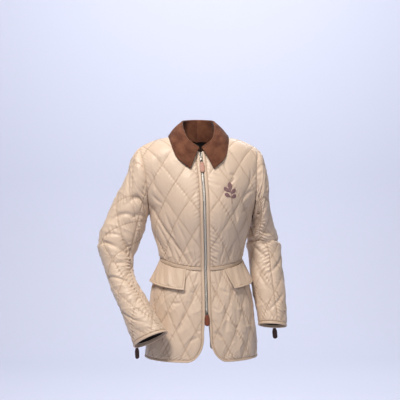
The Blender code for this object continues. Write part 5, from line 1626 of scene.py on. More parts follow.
def build_bound_edges():
    """Four bound edges: each front with its hem, and each side of the vent with its hem."""
    reach, height = edge_profile()
    for kind, lines in (("front", front_edge_lines), ("back", back_edge_lines)):
        for side, label in ((1, "left"), (-1, "right")):
            points, normals = lines(side, reach)
            along = running_length(points[:, 6:7], 0)
            lift = edge_relief(height[None, :], reach[None, :], along, 40 + side)
            shown = points + lift[..., None] * normals
            flip = faces_out(shown[:, 1:9], normals[:, 1:9])
            quads = grid_quads(shown.shape[0], shown.shape[1], flip)
            across = np.broadcast_to(running_length(shown[100:101], 1), shown.shape[:2])
            uv = np.stack([across, np.broadcast_to(along, across.shape)], axis=-1)
            # painted shade in the groove along the binding's seam
            marks = np.exp(-((reach - 0.0084) / 0.0009) ** 2) * (height > -0.001)
            piece = make_object("bound_edge_" + kind + "_" + label, shown.reshape(-1, 3), quads,
                                uv.reshape(-1, 2), [FINISHES["band"]],
                                marks=np.broadcast_to(marks, shown.shape[:2]))
            finish_piece(piece, "band", kind + "_edge_" + label)
            declare(shown)
            add_stitches("edging", shown[::3, 4], normals[::3, 4], *TOP_STITCH)


# ---- pocket flaps ----

def flap_measures(side, u, v):
    """Front limit, flare and depth share of the flap's place on the skirt at u, v."""
    foot = FLAP_FOOT_LEFT if side > 0 else FLAP_FOOT_RIGHT
    drop = v * (SKIRT_TOP - HEM) / FLAP_DEPTH
    first = FLAP_FRONT + (foot - FLAP_FRONT) * np.clip(drop, 0.0, 1.0)
    a = np.clip((u - first) / (FLAP_SIDE - first), 0.0, 1.0)
    return first, FLAP_FLARE_FRONT + (FLAP_FLARE_SIDE - FLAP_FLARE_FRONT) * a, drop


def flap_surface(side):
    """Pocket flap over the skirt front: a runs front to side, b runs down; it stands off below."""
    foot = FLAP_FOOT_LEFT if side > 0 else FLAP_FOOT_RIGHT

    def surface(a, b):
        first = FLAP_FRONT + (foot - FLAP_FRONT) * b
        share = first + (FLAP_SIDE - first) * a
        drop = FLAP_DEPTH * b / (SKIRT_TOP - HEM)
        base = skirt(share, drop, side, True)
        normal = normals_of(lambda p, q: skirt(p, q, side, True), share, drop, from_axis(base))
        flare = FLAP_FLARE_FRONT + (FLAP_FLARE_SIDE - FLAP_FLARE_FRONT) * a
        lift = FLAP_LIFT + flare * b ** FLAP_FLARE_CURVE
        return base + lift[..., None] * normal

    return surface


def thick_sheet(points, normals, relief, thickness, uv, rounds=5):
    """Closed shell of a cloth sheet with round edges on all four sides.

    The outer face is points + relief * normals and the inner face lies `thickness` behind the
    points. Round the border, rings follow a half circle from one face to the other.
    """
    rows, columns = points.shape[:2]
    outer = points + relief[..., None] * normals
    inner = points - thickness * normals
    index = np.arange(rows * columns).reshape(rows, columns)
    loop = np.concatenate([index[0, :-1], index[:-1, -1], index[-1, :0:-1], index[:0:-1, 0]])
    rim_outer = outer.reshape(-1, 3)[loop]
    rim_inner = inner.reshape(-1, 3)[loop]
    middle = 0.5 * (rim_outer + rim_inner)
    half = 0.5 * (rim_outer - rim_inner)
    along = unit(np.roll(middle, -1, axis=0) - np.roll(middle, 1, axis=0))
    away = unit(np.cross(along, half))
    inside = np.roll(index, (rows // 2, columns // 2), axis=(0, 1)).reshape(-1)[0]
    if np.sum(np.mean(np.sum(away * (middle - outer.reshape(-1, 3)[inside]), axis=-1))) < 0:
        away = -away
    reach = np.linalg.norm(half, axis=-1, keepdims=True)
    turns = math.pi * np.arange(1, rounds + 1) / (rounds + 1)
    rings = np.stack([middle + half * math.cos(a) + away * reach * math.sin(a) for a in turns])
    count = rows * columns
    size = len(loop)
    flip = faces_out(points, normals)
    front = grid_quads(rows, columns, flip)
    back = grid_quads(rows, columns, not flip, offset=count)
    ladder = [loop] + [2 * count + k * size + np.arange(size) for k in range(rounds)]
    ladder = ladder + [loop + count]
    sides = []
    for upper, lower in zip(ladder[:-1], ladder[1:]):
        strip = np.stack([upper, lower, np.roll(lower, -1), np.roll(upper, -1)], axis=-1)
        sides.append(strip[:, ::-1] if flip else strip)
    vertices = np.concatenate([outer.reshape(-1, 3), inner.reshape(-1, 3), rings.reshape(-1, 3)])
    flat = uv.reshape(-1, 2)
    all_uv = np.concatenate([flat, flat] + [flat[loop]] * rounds)
    return vertices, np.concatenate([front, back] + sides), all_uv


def build_flaps():
    """Pocket flaps: plain cloth with soft upright folds and a corded, topstitched edge.

    The cord is a raised border 3.5 mm wide on the three free sides, behind a narrow groove.
    """
    for side, label, seed in ((1, "left", 7), (-1, "right", 19)):
        surface = flap_surface(side)
        a, b = np.meshgrid(np.linspace(0.0, 1.0, 96), np.linspace(0.004, 1.0, 44))
        points = surface(a, b)
        normals = normals_of(surface, a, b, from_axis(points), (2e-3, 2e-3))
        spring = (0.0085 if side > 0 else 0.0030) * b ** 1.2 * (1.0 - a) ** 2.2
        points = points + spring[..., None] * normals
        left, right, top, bottom = edge_distances(points)
        edge = np.minimum(np.minimum(left, right), bottom)
        along = left + 0.7 * top
        cord = 0.0011 * np.exp(-((edge - 0.0016) / 0.0017) ** 2)
        groove = -0.0007 * np.exp(-((edge - 0.0048) / 0.0008) ** 2)
        fold = wander(left / 0.0065 + 0.25 * top / 0.0065, top / 0.040, seed)
        sharp = crinkle(left / 0.009 + 0.3 * top / 0.009, top / 0.030, seed + 5)
        folds = (0.0018 * fold + 0.0022 * sharp) * smooth((edge - 0.004) / 0.008)
        folds = folds * (0.35 + 0.65 * b)
        gather = 0.0003 * np.sin(2 * math.pi * along / 0.0075) * np.exp(-(edge / 0.009) ** 2)
        relief = 0.0021 + cord + groove + folds + gather + 0.0006 * wander(
            left / 0.012, top / 0.02, seed + 3)
        uv = np.stack([left, -top], axis=-1)
        vertices, quads, uv = thick_sheet(points, normals, relief, -0.0004, uv)
        # painted shade in the groove inside the flap's corded edge
        mark = 0.8 * np.exp(-((edge - 0.0048) / 0.0009) ** 2)
        extra = len(vertices) - mark.size
        piece = make_object("flap_" + label, vertices, quads, uv, [FINISHES["band"]],
                            marks=np.concatenate([mark.ravel(), np.zeros(extra)]))
        finish_piece(piece, "band", "pocket_flap_" + label)
        declare(points)
        shown = points + relief[..., None] * normals
        inset = 4
        line = np.concatenate([shown[1:-inset, inset], shown[-inset, inset:-inset],
                               shown[-inset:0:-1, -inset]])
        turn = np.concatenate([normals[1:-inset, inset], normals[-inset, inset:-inset],
                               normals[-inset:0:-1, -inset]])
        add_stitches("edging", line, turn, *TOP_STITCH)


# ---- sleeves ----

# Creases of the sleeves: (angle0, w0, angle1, w1, bow, depth, width).
LEFT_SLEEVE_CREASES = (
    (20.0, 5.95, 118.0, 5.95, 0.002, -0.0030, 0.0100),
    (12.0, 5.60, 70.0, 6.05, -0.003, 0.0034, 0.0050),
    (58.0, 6.10, 128.0, 5.80, 0.003, 0.0038, 0.0050),
    (108.0, 6.15, 178.0, 5.75, -0.003, 0.0038, 0.0055),
    (40.0, 5.30, 100.0, 5.50, 0.004, 0.0026, 0.0045),
    (96.0, 6.60, 168.0, 6.30, 0.003, 0.0028, 0.0045),
    (190.0, 5.90, 340.0, 5.90, 0.002, 0.0026, 0.0070),
    (107.0, 3.8, 40.0, 4.3, 0.006, 0.0036, 0.0060),
    (86.0, 2.0, 18.0, 2.9, 0.008, 0.0030, 0.0060),
    (150.0, 7.0, 84.0, 8.4, 0.006, 0.0032, 0.0060),
    (60.0, 6.5, 128.0, 7.3, -0.006, 0.0030, 0.0055),
    (20.0, 7.6, 96.0, 9.0, -0.008, 0.0028, 0.0060),
    (136.0, 8.8, 70.0, 10.2, 0.006, 0.0028, 0.0055),
    (40.0, 9.8, 112.0, 10.8, -0.004, 0.0026, 0.0050),
    (150.0, 1.2, 110.0, 2.6, 0.006, 0.0032, 0.0065),
    (120.0, 0.9, 78.0, 1.4, 0.004, 0.0024, 0.0055),
    (128.0, 4.7, 64.0, 5.2, 0.005, 0.0030, 0.0050),
    (170.0, 3.4, 130.0, 4.4, 0.004, 0.0028, 0.0060),
    (-50.0, 2.2, 20.0, 3.4, 0.008, 0.0026, 0.0070),
    (-60.0, 4.6, 10.0, 5.2, 0.006, 0.0030, 0.0060),
    (-40.0, 6.8, 16.0, 7.8, -0.006, 0.0026, 0.0060),
    (230.0, 4.9, 300.0, 5.3, 0.004, 0.0028, 0.0060),
    (210.0, 7.0, 280.0, 8.0, 0.006, 0.0026, 0.0060),
)
RIGHT_SLEEVE_CREASES = (
    (63.0, 2.9, 134.0, 0.9, 0.010, 0.0046, 0.0070),
    (37.0, 4.2, 104.0, 2.9, 0.008, 0.0036, 0.0065),
    (30.0, 5.3, 92.0, 4.6, 0.006, 0.0034, 0.0060),
    (92.0, 4.6, 150.0, 6.0, -0.006, 0.0040, 0.0060),
    (20.0, 6.3, 88.0, 6.4, 0.006, 0.0034, 0.0055),
    (88.0, 6.4, 160.0, 6.9, 0.004, 0.0030, 0.0055),
    (15.0, 8.9, 132.0, 9.1, 0.008, 0.0034, 0.0060),
    (37.0, 10.2, 124.0, 11.3, -0.006, 0.0030, 0.0055),
    (130.0, 7.6, 60.0, 8.2, 0.006, 0.0026, 0.0055),
    (150.0, 1.8, 96.0, 3.4, -0.006, 0.0030, 0.0065),
    (110.0, 0.6, 80.0, 1.6, 0.004, 0.0022, 0.0055),
    (24.0, 1.6, 80.0, 2.4, -0.008, 0.0024, 0.0065),
    (-60.0, 2.2, 20.0, 3.4, 0.008, 0.0026, 0.0070),
    (-70.0, 4.8, 10.0, 5.4, 0.006, 0.0032, 0.0060),
    (-60.0, 7.4, 10.0, 8.4, -0.006, 0.0026, 0.0060),
    (200.0, 4.4, 280.0, 5.0, 0.006, 0.0030, 0.0060),
    (190.0, 6.6, 270.0, 7.8, 0.006, 0.0028, 0.0060),
)
SLEEVE_REACH = 0.054      # cloth coordinate per radian round a sleeve
ARMHOLE_ROLL = 0.0024     # radius of the turned allowance inside an armhole
ARMHOLE_ROLL_DEPTH = 0.0030


def sleeve_length(side, w):
    """Cloth coordinate along a sleeve: minus the length of its outer front line down to w."""
    surface = sleeve_surface(side)
    fine = np.linspace(0.0, float(len(sleeve_table(side))), 600)
    length = running_length(surface(np.full(600, 60.0), fine)[:, None], 0)[:, 0]
    return -np.interp(w, fine, length)


def sleeve_relief(points, s, t, creases, seed):
    """Relief of a sleeve panel: slacker quilting than the body's, many cross creases."""
    quilt, a, b = quilt_relief(s, t, SLEEVE_PITCH, SLEEVE_ORIGIN, SLEEVE_PUFF)
    left, right, top, bottom = edge_distances(points)
    nearest = np.minimum(np.minimum(left, right), np.minimum(top, bottom))
    calm = calm_beside(nearest)
    soft = crease_field(s, t, creases) * (0.45 + 0.55 * calm)
    soft = soft + 0.0016 * wander(s / 0.040, t / 0.030, seed + 11) * calm
    fine = calm * (quilt + stitch_puckers(a, b, s, t, SLEEVE_PITCH, seed, 0.0012))
    fine = fine + 0.0026 * crinkle(s / 0.026, t / 0.013, seed + 12) * calm
    fine = fine + 1.3 * seam_puckers(left, t, seed + 20, 0.0013, 0.024)
    fine = fine + 1.3 * seam_puckers(right, t, seed + 21, 0.0013, 0.024) + seam_puckers(top, s, seed + 22)
    fine = fine + 1.2 * seam_puckers(bottom, s, seed + 23)
    return soft, fine + seam_roll(nearest), a, b, nearest


def build_sleeves():
    """Top and under piece of each sleeve, and their stitches."""
    for side, label, table in ((1, "left", LEFT_SLEEVE_CREASES), (-1, "right",
                                                                   RIGHT_SLEEVE_CREASES)):
        surface = sleeve_surface(side)
        last = len(sleeve_table(side))
        fine = np.linspace(0.010, cuff_start(side)[0] - 0.010, 600)
        length = running_length(surface(np.full(600, 60.0), fine)[:, None], 0)[:, 0]
        w = np.interp(np.linspace(0.0, length[-1], int(length[-1] / STEP)), length, fine)
        front = seam_angle(FRONT_SEAM[side], w, last)
        hind = seam_angle(HIND_SEAM[side], w, last)
        creases = []
        for angle0, w0, angle1, w1, bow, depth, width in table:
            creases.append((math.radians(angle0) * SLEEVE_REACH, float(sleeve_length(side, w0)),
                            math.radians(angle1) * SLEEVE_REACH, float(sleeve_length(side, w1)),
                            bow, depth, width))
        for kind, first, second, seed in (("top", hind - 360.0, front, 131),
                                          ("under", front, hind, 151)):
            share = np.linspace(0.0, 1.0, 92)[None, :]
            angle = first[:, None] + 0.25 + (second - first - 0.5)[:, None] * share
            rows = np.broadcast_to(w[:, None], angle.shape)
            points = surface(angle, rows)
            normals = sleeve_normals(surface, angle, rows)
            s = np.radians(angle) * SLEEVE_REACH
            t = np.broadcast_to(sleeve_length(side, w)[:, None], s.shape)
            soft, hard, a, b, nearest = sleeve_relief(points, s, t, creases, seed + side)
            relief = soft + hard
            quilted_panel("quilted_sleeve_" + kind + "_" + label, "sleeve_" + kind + "_" + label,
                          points, normals, relief, s, t, a, b, SLEEVE_PITCH, nearest)
            queue_lining("sleeve_" + label, points, normals, np.minimum(soft, 0.001))


def build_armhole_seams():
    """Turned allowance inside each armhole seam: a round roll of shell cloth, one turn long."""
    for side, label in ((1, "left"), (-1, "right")):
        surface = sleeve_surface(side)
        angle = np.linspace(0.0, 360.0, 181)[:-1]
        out = sleeve_normals(surface, angle, np.full(angle.shape, 0.02))
        path = armhole(angle, side) - ARMHOLE_ROLL_DEPTH * out
        vertices, faces = tube(path, ARMHOLE_ROLL, 10, True)
        piece = make_object("armhole_seam_" + label, vertices, faces,
                            np.zeros((len(vertices), 2)), [FINISHES["band"]])
        finish_piece(piece, "shell")


def build_cuffs():
    """Bound cuff of each sleeve: the bound edge's profile run once round the sleeve's end."""
    reach, height = edge_profile()
    for side, label in ((1, "left"), (-1, "right")):
        surface = sleeve_surface(side)
        last = float(len(sleeve_table(side)))
        step = cuff_start(side)[1]
        ring = np.linspace(0.0, 360.0, 181)[:-1]
        angle, w = np.meshgrid(ring, last - reach / step)
        points = surface(angle, w)
        normals = sleeve_normals(surface, angle, np.minimum(w, last - 0.02))
        along = running_length(points[6:7], 1)
        lift = edge_relief(height[:, None], reach[:, None], along, 60 + side)
        shown = points + lift[..., None] * normals
        flip = faces_out(shown[1:9], normals[1:9])
        quads = grid_quads(shown.shape[0], shown.shape[1], flip, ring=True)
        down = np.broadcast_to(running_length(shown[:, :1], 0), shown.shape[:2])
        uv = np.stack([down, np.broadcast_to(along, down.shape)], axis=-1)
        # painted shade in the groove along the cuff binding's seam
        mark = np.exp(-((reach - 0.0084) / 0.0009) ** 2) * (height > -0.001)
        piece = make_object("bound_cuff_" + label, shown.reshape(-1, 3), quads,
                            uv.reshape(-1, 2), [FINISHES["band"]],
                            marks=np.broadcast_to(mark[:, None], shown.shape[:2]))
        finish_piece(piece, "band", "cuff_edge_" + label)
        declare(shown)
        add_stitches("edging", shown[4], normals[4], *TOP_STITCH)


# ---- collar ----

STAND_WALL = 0.0040       # depth of the stand's neck side behind its outer face


def collar_column_points(s):
    """Sections of the folded collar, one row per place along it and one column per s.

    From the neck seam a section runs up the neck side of the stand, over a half circle at the
    fold, and down the outside of the leaf to its free edge.
    """
    rise = np.linspace(-0.22, 1.0, 12)[:, None]
    fall = np.linspace(0.0, 1.0, 40)[1:, None]
    along = np.broadcast_to(s[None, :], (12, len(s)))
    stand = collar_stand(along, np.broadcast_to(rise, along.shape))
    out = normals_of(collar_stand, along, np.broadcast_to(rise, along.shape),
                     stand - np.array([0.0, 0.0, -0.05]), (1e-2, 1e-2))
    stand = stand - STAND_WALL * out
    columns = np.broadcast_to(s[None, :], (39, len(s)))
    leaf = collar_leaf(columns, np.broadcast_to(fall, columns.shape))
    fold = collar_leaf(s, np.zeros(len(s)))
    inner = stand[-1]
    middle = 0.5 * (inner + fold)
    arm = 0.5 * (inner - fold)
    up = fold - collar_leaf(s, np.full(len(s), 0.06))
    up = up - arm * np.sum(up * arm, axis=-1, keepdims=True) / np.sum(arm * arm, axis=-1,
                                                                      keepdims=True)
    up = unit(up) * np.linalg.norm(arm, axis=-1, keepdims=True)
    turn = np.linspace(0.0, math.pi, 11)[1:, None, None]
    roll = middle + arm * np.cos(turn) + 0.95 * up * np.sin(turn)
    return np.concatenate([stand, roll, leaf])


def build_collar():
    """Corduroy collar in one folded sheet, with a stitched line inside its free edge."""
    s = np.linspace(-6.0, 6.0, 230)
    points = collar_column_points(s)
    du = np.gradient(points, axis=1)
    dv = np.gradient(points, axis=0)
    normals = unit(np.cross(dv, du))
    middle = normals[30, len(s) // 2]
    normals = normals * (1.0 if middle[1] > 0 else -1.0)
    left, right, top, bottom = edge_distances(points)
    edge = np.minimum(np.minimum(left, right), bottom)
    on_leaf = np.arange(len(points))[:, None] > 24
    groove = -0.0007 * np.exp(-((edge - 0.0060) / 0.0010) ** 2) * on_leaf
    swell = 0.0007 * np.exp(-((edge - 0.0030) / 0.0022) ** 2) * on_leaf
    centre = np.broadcast_to(left[:, len(s) // 2][:, None], left.shape)
    around = left - centre
    soft = 0.0010 * wander(around / 0.030, top / 0.022, 5) * smooth(top / 0.030)
    relief = soft + groove + swell + seam_roll(top, 0.0010, 0.003)
    uv = np.stack([around, top], axis=-1)
    vertices, quads, uv = thick_sheet(points, normals, relief, 0.0026, uv, 5)
    piece = make_object("folded_collar", vertices, quads, uv, [FINISHES["corduroy"]])
    finish_piece(piece, "corduroy", "collar_leaf", "collar_stand")
    declare(points)
    shown = points + relief[..., None] * normals
    row = int(np.argmin(np.abs(bottom[:, len(s) // 2] - 0.0060)))
    column = int(np.argmin(np.abs(left[row] - 0.0060)))
    line = np.concatenate([shown[26:row, column], shown[row, column:-column],
                           shown[row:26:-1, -column]])
    turn = np.concatenate([normals[26:row, column], normals[row, column:-column],
                           normals[row:26:-1, -column]])
    add_stitches("collar", line, turn, *TOP_STITCH)


# ---- zips ----

TAPE_INNER = 0.0010       # reach of the zip's tape from its middle
TAPE_OUTER = 0.0135
TAPE_DEPTH = 0.0040
TOOTH_PITCH = 0.0021
TOOTH_SIZE = (0.0044, 0.0022, 0.0013)   # across, out of the zip, along it
CHAIN_DEPTH = 0.0020
CHAIN_CLEARANCE = 0.0062
SLIDER_WIDTH = 0.0080
SLIDER_LENGTH = 0.0140
SLIDER_FRONT = 0.0026
SLIDER_BACK = 0.0028
LUG_REACH = 0.0032
LUG_RADIUS = 0.0026
LUG_HOLE = 0.0014
LUG_SUNK = 0.0008
LINK_HALF_WIDTH = 0.0034
FRONT_PULL_TILT = 4.0
CUFF_SLIDER_BELOW = 0.0010
CUFF_SLIDER_LIFT = 0.0052
CUFF_ZIP_WIDTH = 0.0090
CUFF_ZIP_END = 0.0040


def frame_matrix(origin, up, across):
    """Matrix with Z along up, X near across, and its origin at a point."""
    up = up / np.linalg.norm(up)
    across = across - up * float(np.dot(across, up))
    across = across / np.linalg.norm(across)
    out = np.cross(up, across)
    return Matrix([(across[i], out[i], up[i], origin[i]) for i in range(3)] + [(0, 0, 0, 1)])


def front_frame(height):
    """Matrix on the centre front: X across, Z up the zip, -Y out of the garment."""
    low, here, high = (pose(np.array([0.0, float(front_line(z)), z]))
                       for z in (height - 0.01, height, height + 0.01))
    side = pose(np.array([0.01, float(front_line(height)), height])) - here
    return frame_matrix(here, high - low, side)


def cuff_frame(side):
    """Matrix on a cuff zip's slider: X round the sleeve, Z up it, -Y out of it."""
    start, step = cuff_start(side)
    w = start + CUFF_SLIDER_BELOW / step
    angle = seam_angle(HIND_SEAM[side], w, len(sleeve_table(side)))
    surface = sleeve_surface(side)
    here = surface(angle, w)
    up = surface(angle, w - 0.05) - surface(angle, w + 0.05)
    normal = sleeve_normals(surface, np.array(angle), np.array(w))
    across = np.cross(up, -normal)
    return frame_matrix(here + CUFF_SLIDER_LIFT * normal, up, -across)


def moved(place, vertices):
    """Vertices taken through a matrix."""
    table = np.array(place)
    return vertices @ table[:3, :3].T + table[:3, 3]


def rounded_plate(outline, depths, round_off, rounds=4):
    """Closed plate between two depths with round rims, from a convex outline in X and Z.

    Each rim is a quarter circle of radius `round_off`, made of rings pulled in towards the
    outline's middle; a fan of triangles closes either face.
    """
    outline = np.asarray(outline, float)
    middle = outline.mean(axis=0)
    away = outline - middle
    reach = np.linalg.norm(away, axis=1, keepdims=True)
    turns = np.linspace(0.0, math.pi / 2.0, rounds)
    rings = []
    for a in turns:
        inset = round_off * (1.0 - math.sin(a))
        rings.append((inset, depths[0] + round_off * (1.0 - math.cos(a))))
    for a in turns[::-1]:
        inset = round_off * (1.0 - math.sin(a))
        rings.append((inset, depths[1] - round_off * (1.0 - math.cos(a))))
    loops = []
    for inset, depth in rings:
        flat = middle + away * (1.0 - inset / reach)
        loops.append(np.stack([flat[:, 0], np.full(len(flat), depth), flat[:, 1]], axis=-1))
    size = len(outline)
    vertices = np.concatenate(loops + [np.array([[middle[0], depths[0], middle[1]],
                                                 [middle[0], depths[1], middle[1]]])])
    k = np.arange(size)
    n = (k + 1) % size
    faces = []
    for r in range(len(loops) - 1):
        a, b = r * size, (r + 1) * size
        faces.append(np.stack([a + k, a + n, b + n], axis=-1))
        faces.append(np.stack([a + k, b + n, b + k], axis=-1))
    first = len(loops) * size
    faces.append(np.stack([np.full(size, first), n, k], axis=-1))
    base = (len(loops) - 1) * size
    faces.append(np.stack([np.full(size, first + 1), base + k, base + n], axis=-1))
    return vertices, np.concatenate(faces)


def joined(parts):
    """Several vertex and face tables of one kind as a single pair."""
    count = 0
    vertices, faces = [], []
    for points, cells in parts:
        vertices.append(points)
        faces.append(cells + count)
        count += len(points)
    return np.concatenate(vertices), np.concatenate(faces)


def tube(path, radius, sides=12, closed=False):
    """Round tube along a path of points, as triangles; a closed one joins its ends."""
    path = np.asarray(path, float)
    if closed:
        run = unit(np.roll(path, -1, axis=0) - np.roll(path, 1, axis=0))
    else:
        run = unit(np.gradient(path, axis=0))
    side = np.zeros_like(path)
    side[0] = unit(np.cross(run[0], np.array([0.3, 1.0, 0.2])))
    for i in range(1, len(path)):
        turned = side[i - 1] - run[i] * np.dot(side[i - 1], run[i])
        side[i] = unit(turned)
    other = np.cross(run, side)
    angle = np.linspace(0.0, 2 * math.pi, sides + 1)[:-1]
    ring = side[:, None] * np.cos(angle)[None, :, None] + other[:, None] * np.sin(
        angle)[None, :, None]
    points = path[:, None] + radius * ring
    rows = len(path) + (1 if closed else 0)
    quads = grid_quads(rows, sides, True, ring=True) % (len(path) * sides)
    faces = np.concatenate([quads[:, [0, 1, 2]], quads[:, [0, 2, 3]]])
    vertices = points.reshape(-1, 3)
    if not closed:
        ends = np.array([path[0], path[-1]])
        base = (len(path) - 1) * sides
        k = np.arange(sides)
        n = (k + 1) % sides
        fans = [np.stack([np.full(sides, len(vertices)), k, n], axis=-1),
                np.stack([np.full(sides, len(vertices) + 1), base + n, base + k], axis=-1)]
        faces = np.concatenate([faces] + fans)
        vertices = np.concatenate([vertices, ends])
    return vertices, faces


def tooth_block():
    """One zip tooth round the origin: a block whose front corners are taken off twice."""
    across, out, along = TOOTH_SIZE
    corner = [(-0.5, -0.30), (-0.36, -0.5), (0.36, -0.5), (0.5, -0.30), (0.5, 0.30),
              (0.36, 0.5), (-0.36, 0.5), (-0.5, 0.30)]
    outline = [(across * x, along * z) for x, z in corner]
    return rounded_plate(outline, (-0.5 * out, 0.5 * out), 0.0004, 3)


def teeth_along(points, normals, sides_out, offset):
    """Teeth set along a line at the zip's pitch: `offset` shifts the row by half a pitch."""
    block, faces = tooth_block()
    total = running_length(points[None], 1)[0]
    at = np.arange(offset * TOOTH_PITCH, total[-1], TOOTH_PITCH)

    def read(table):
        return np.stack([np.interp(at, total, table[:, i]) for i in range(3)], axis=-1)

    spot = read(points)
    out = unit(read(normals))
    along = unit(read(np.gradient(points, axis=0)))
    across = unit(read(sides_out))
    across = unit(across - along * np.sum(across * along, axis=-1, keepdims=True))
    placed_teeth = (spot[:, None] + block[None, :, 0:1] * across[:, None]
                    - block[None, :, 1:2] * out[:, None] + block[None, :, 2:3] * along[:, None])
    count = len(at)
    base = (np.arange(count) * len(block))[:, None, None]
    return placed_teeth.reshape(-1, 3), (base + faces[None]).reshape(-1, 3)


def chain_line(heights, x):
    """Points and outward normals of a line on the centre front, at an x for every height."""
    y = front_line(heights)
    points = pose(np.stack([x, y + CHAIN_DEPTH, heights], axis=-1))
    ahead = pose(np.stack([x, y + CHAIN_DEPTH - 0.01, heights], axis=-1))
    beside = pose(np.stack([x + 0.01, y + CHAIN_DEPTH, heights], axis=-1))
    return points, unit(ahead - points), unit(beside - points)


def outward_faces(vertices, faces):
    """Triangles of one closed piece, turned so that its volume is positive."""
    a, b, c = (vertices[faces[:, i]] for i in range(3))
    middle = vertices.mean(axis=0)
    volume = np.sum(np.cross(a - middle, b - middle) * (c - middle))
    return faces[:, ::-1] if volume < 0 else faces


def metal_piece(name, parts, finish, body, *nodes, slot_name="zip_metal"):
    """A piece of one finish, made of closed parts."""
    vertices, faces = joined([(p, outward_faces(p, f)) for p, f in parts])
    piece = make_object(name, vertices, faces, materials=[FINISHES[finish]])
    return finish_piece(piece, slot_name, *nodes, body=body)


def build_front_zip():
    """Tapes and teeth of the front zip: closed between the sliders, parting above the upper."""
    for side, label in ((1, "left"), (-1, "right")):
        heights = np.linspace(ZIP_TOP, ZIP_BOTTOM, 240)
        inner = TAPE_INNER + 0.0024 * smooth((heights - SLIDER_TOP_Z) / 0.030)
        across = np.linspace(0.0, 1.0, 10)
        x = side * (inner[:, None] + (TAPE_OUTER - inner[:, None]) * across[None, :])
        z = np.broadcast_to(heights[:, None], x.shape)
        points = pose(np.stack([x, front_line(z) + TAPE_DEPTH - 0.0004, z], axis=-1))
        normals = unit(pose(np.stack([x, front_line(z) - 0.01, z], axis=-1)) - points)
        flip = faces_out(points, normals)
        front = points.reshape(-1, 3)
        back = (points - 0.0007 * normals).reshape(-1, 3)
        rows, columns = x.shape
        quads = np.concatenate([grid_quads(rows, columns, flip),
                                grid_quads(rows, columns, not flip, offset=len(front))])
        uv = np.stack([x, z], axis=-1).reshape(-1, 2)
        piece = make_object("zip_tape_strip_" + label, np.concatenate([front, back]), quads,
                            np.concatenate([uv, uv]), [FINISHES["tape"]])
        finish_piece(piece, "zip_tape", "zip_tape_" + label)
        declare(points)
    rows = []
    closed_top, closed_foot = SLIDER_TOP_Z - CHAIN_CLEARANCE, SLIDER_BOTTOM_Z + CHAIN_CLEARANCE
    for side in (1, -1):
        heights = np.linspace(closed_top, closed_foot, 260)
        line = chain_line(heights, np.full(260, side * 0.0013))
        rows.append(teeth_along(*line, 0.25 if side > 0 else 0.75))
        heights = np.linspace(ZIP_TOP - 0.002, SLIDER_TOP_Z + 0.0070, 40)
        parted = 0.0013 + 0.0017 * smooth((heights - SLIDER_TOP_Z) / 0.022)
        line = chain_line(heights, side * parted)
        rows.append(teeth_along(*line, 0.5))
    vertices, faces = joined(rows)
    piece = make_object("zip_teeth", vertices, faces, materials=[FINISHES["teeth"]])
    finish_piece(piece, "zip_metal", "zip_chain")


def shield_outline(width, length, waist=0.86, points=28):
    """Outline of a slider's plate: a long rounded shield, wide above and narrow below."""
    angle = np.linspace(0.0, 2.0 * math.pi, points + 1)[:-1]
    x = np.sign(np.cos(angle)) * np.abs(np.cos(angle)) ** 0.62
    z = np.sign(np.sin(angle)) * np.abs(np.sin(angle)) ** 0.62
    taper = 1.0 - (1.0 - waist) * 0.5 * (1.0 - z)
    return np.stack([0.5 * width * x * taper, 0.5 * length * z], axis=-1)


def slider_parts(place):
    """Slider: two shield plates, the post between them, and a pierced lug on the front."""
    front = rounded_plate(shield_outline(SLIDER_WIDTH, SLIDER_LENGTH, 0.80),
                          (-SLIDER_FRONT, -SLIDER_FRONT + 0.0016), 0.0006)
    back = rounded_plate(shield_outline(SLIDER_WIDTH, SLIDER_LENGTH, 0.80),
                         (SLIDER_BACK - 0.0014, SLIDER_BACK), 0.0005)
    post = rounded_plate(shield_outline(SLIDER_WIDTH * 0.8, SLIDER_LENGTH * 0.8, 0.7),
                         (-SLIDER_FRONT + 0.0012, SLIDER_BACK - 0.0010), 0.0003)
    turn = np.linspace(0.0, 2.0 * math.pi, 29)[:-1]
    centre_y = LUG_SUNK - SLIDER_FRONT - LUG_REACH
    radius = 0.5 * (LUG_RADIUS + LUG_HOLE)
    ring = np.stack([np.zeros(28), centre_y + radius * np.cos(turn), radius * np.sin(turn)],
                    axis=-1)
    eye = tube(ring, 0.5 * (LUG_RADIUS - LUG_HOLE) + 0.0001, 10, True)
    foot_path = np.stack([np.zeros(12), np.full(12, -SLIDER_FRONT - 0.0004),
                          np.linspace(-0.0042, 0.0042, 12)], axis=-1)
    foot = tube(foot_path, 0.0010, 10)
    return [(moved(place, p), f) for p, f in (front, back, post, eye, foot)]


def link_part(hinge):
    """Wire link: a rounded rectangle through the lug's hole, one radius at every corner."""
    half, length, radius = LINK_HALF_WIDTH - 0.0002, LINK_LENGTH, 0.0012
    corners = ((half, 0.0, 90.0), (half, -length, 0.0), (-half, -length, -90.0),
               (-half, 0.0, 180.0))
    path = []
    for x, z, start in corners:
        for a in np.radians(np.linspace(start, start - 90.0, 6)):
            centre_x = x - math.copysign(radius, x)
            centre_z = z - radius if z > -0.5 * length else z + radius
            path.append((centre_x + radius * math.cos(a), 0.0, centre_z + radius * math.sin(a)))
    vertices, faces = tube(path, LINK_WIRE, 10, True)
    return moved(hinge, vertices), faces


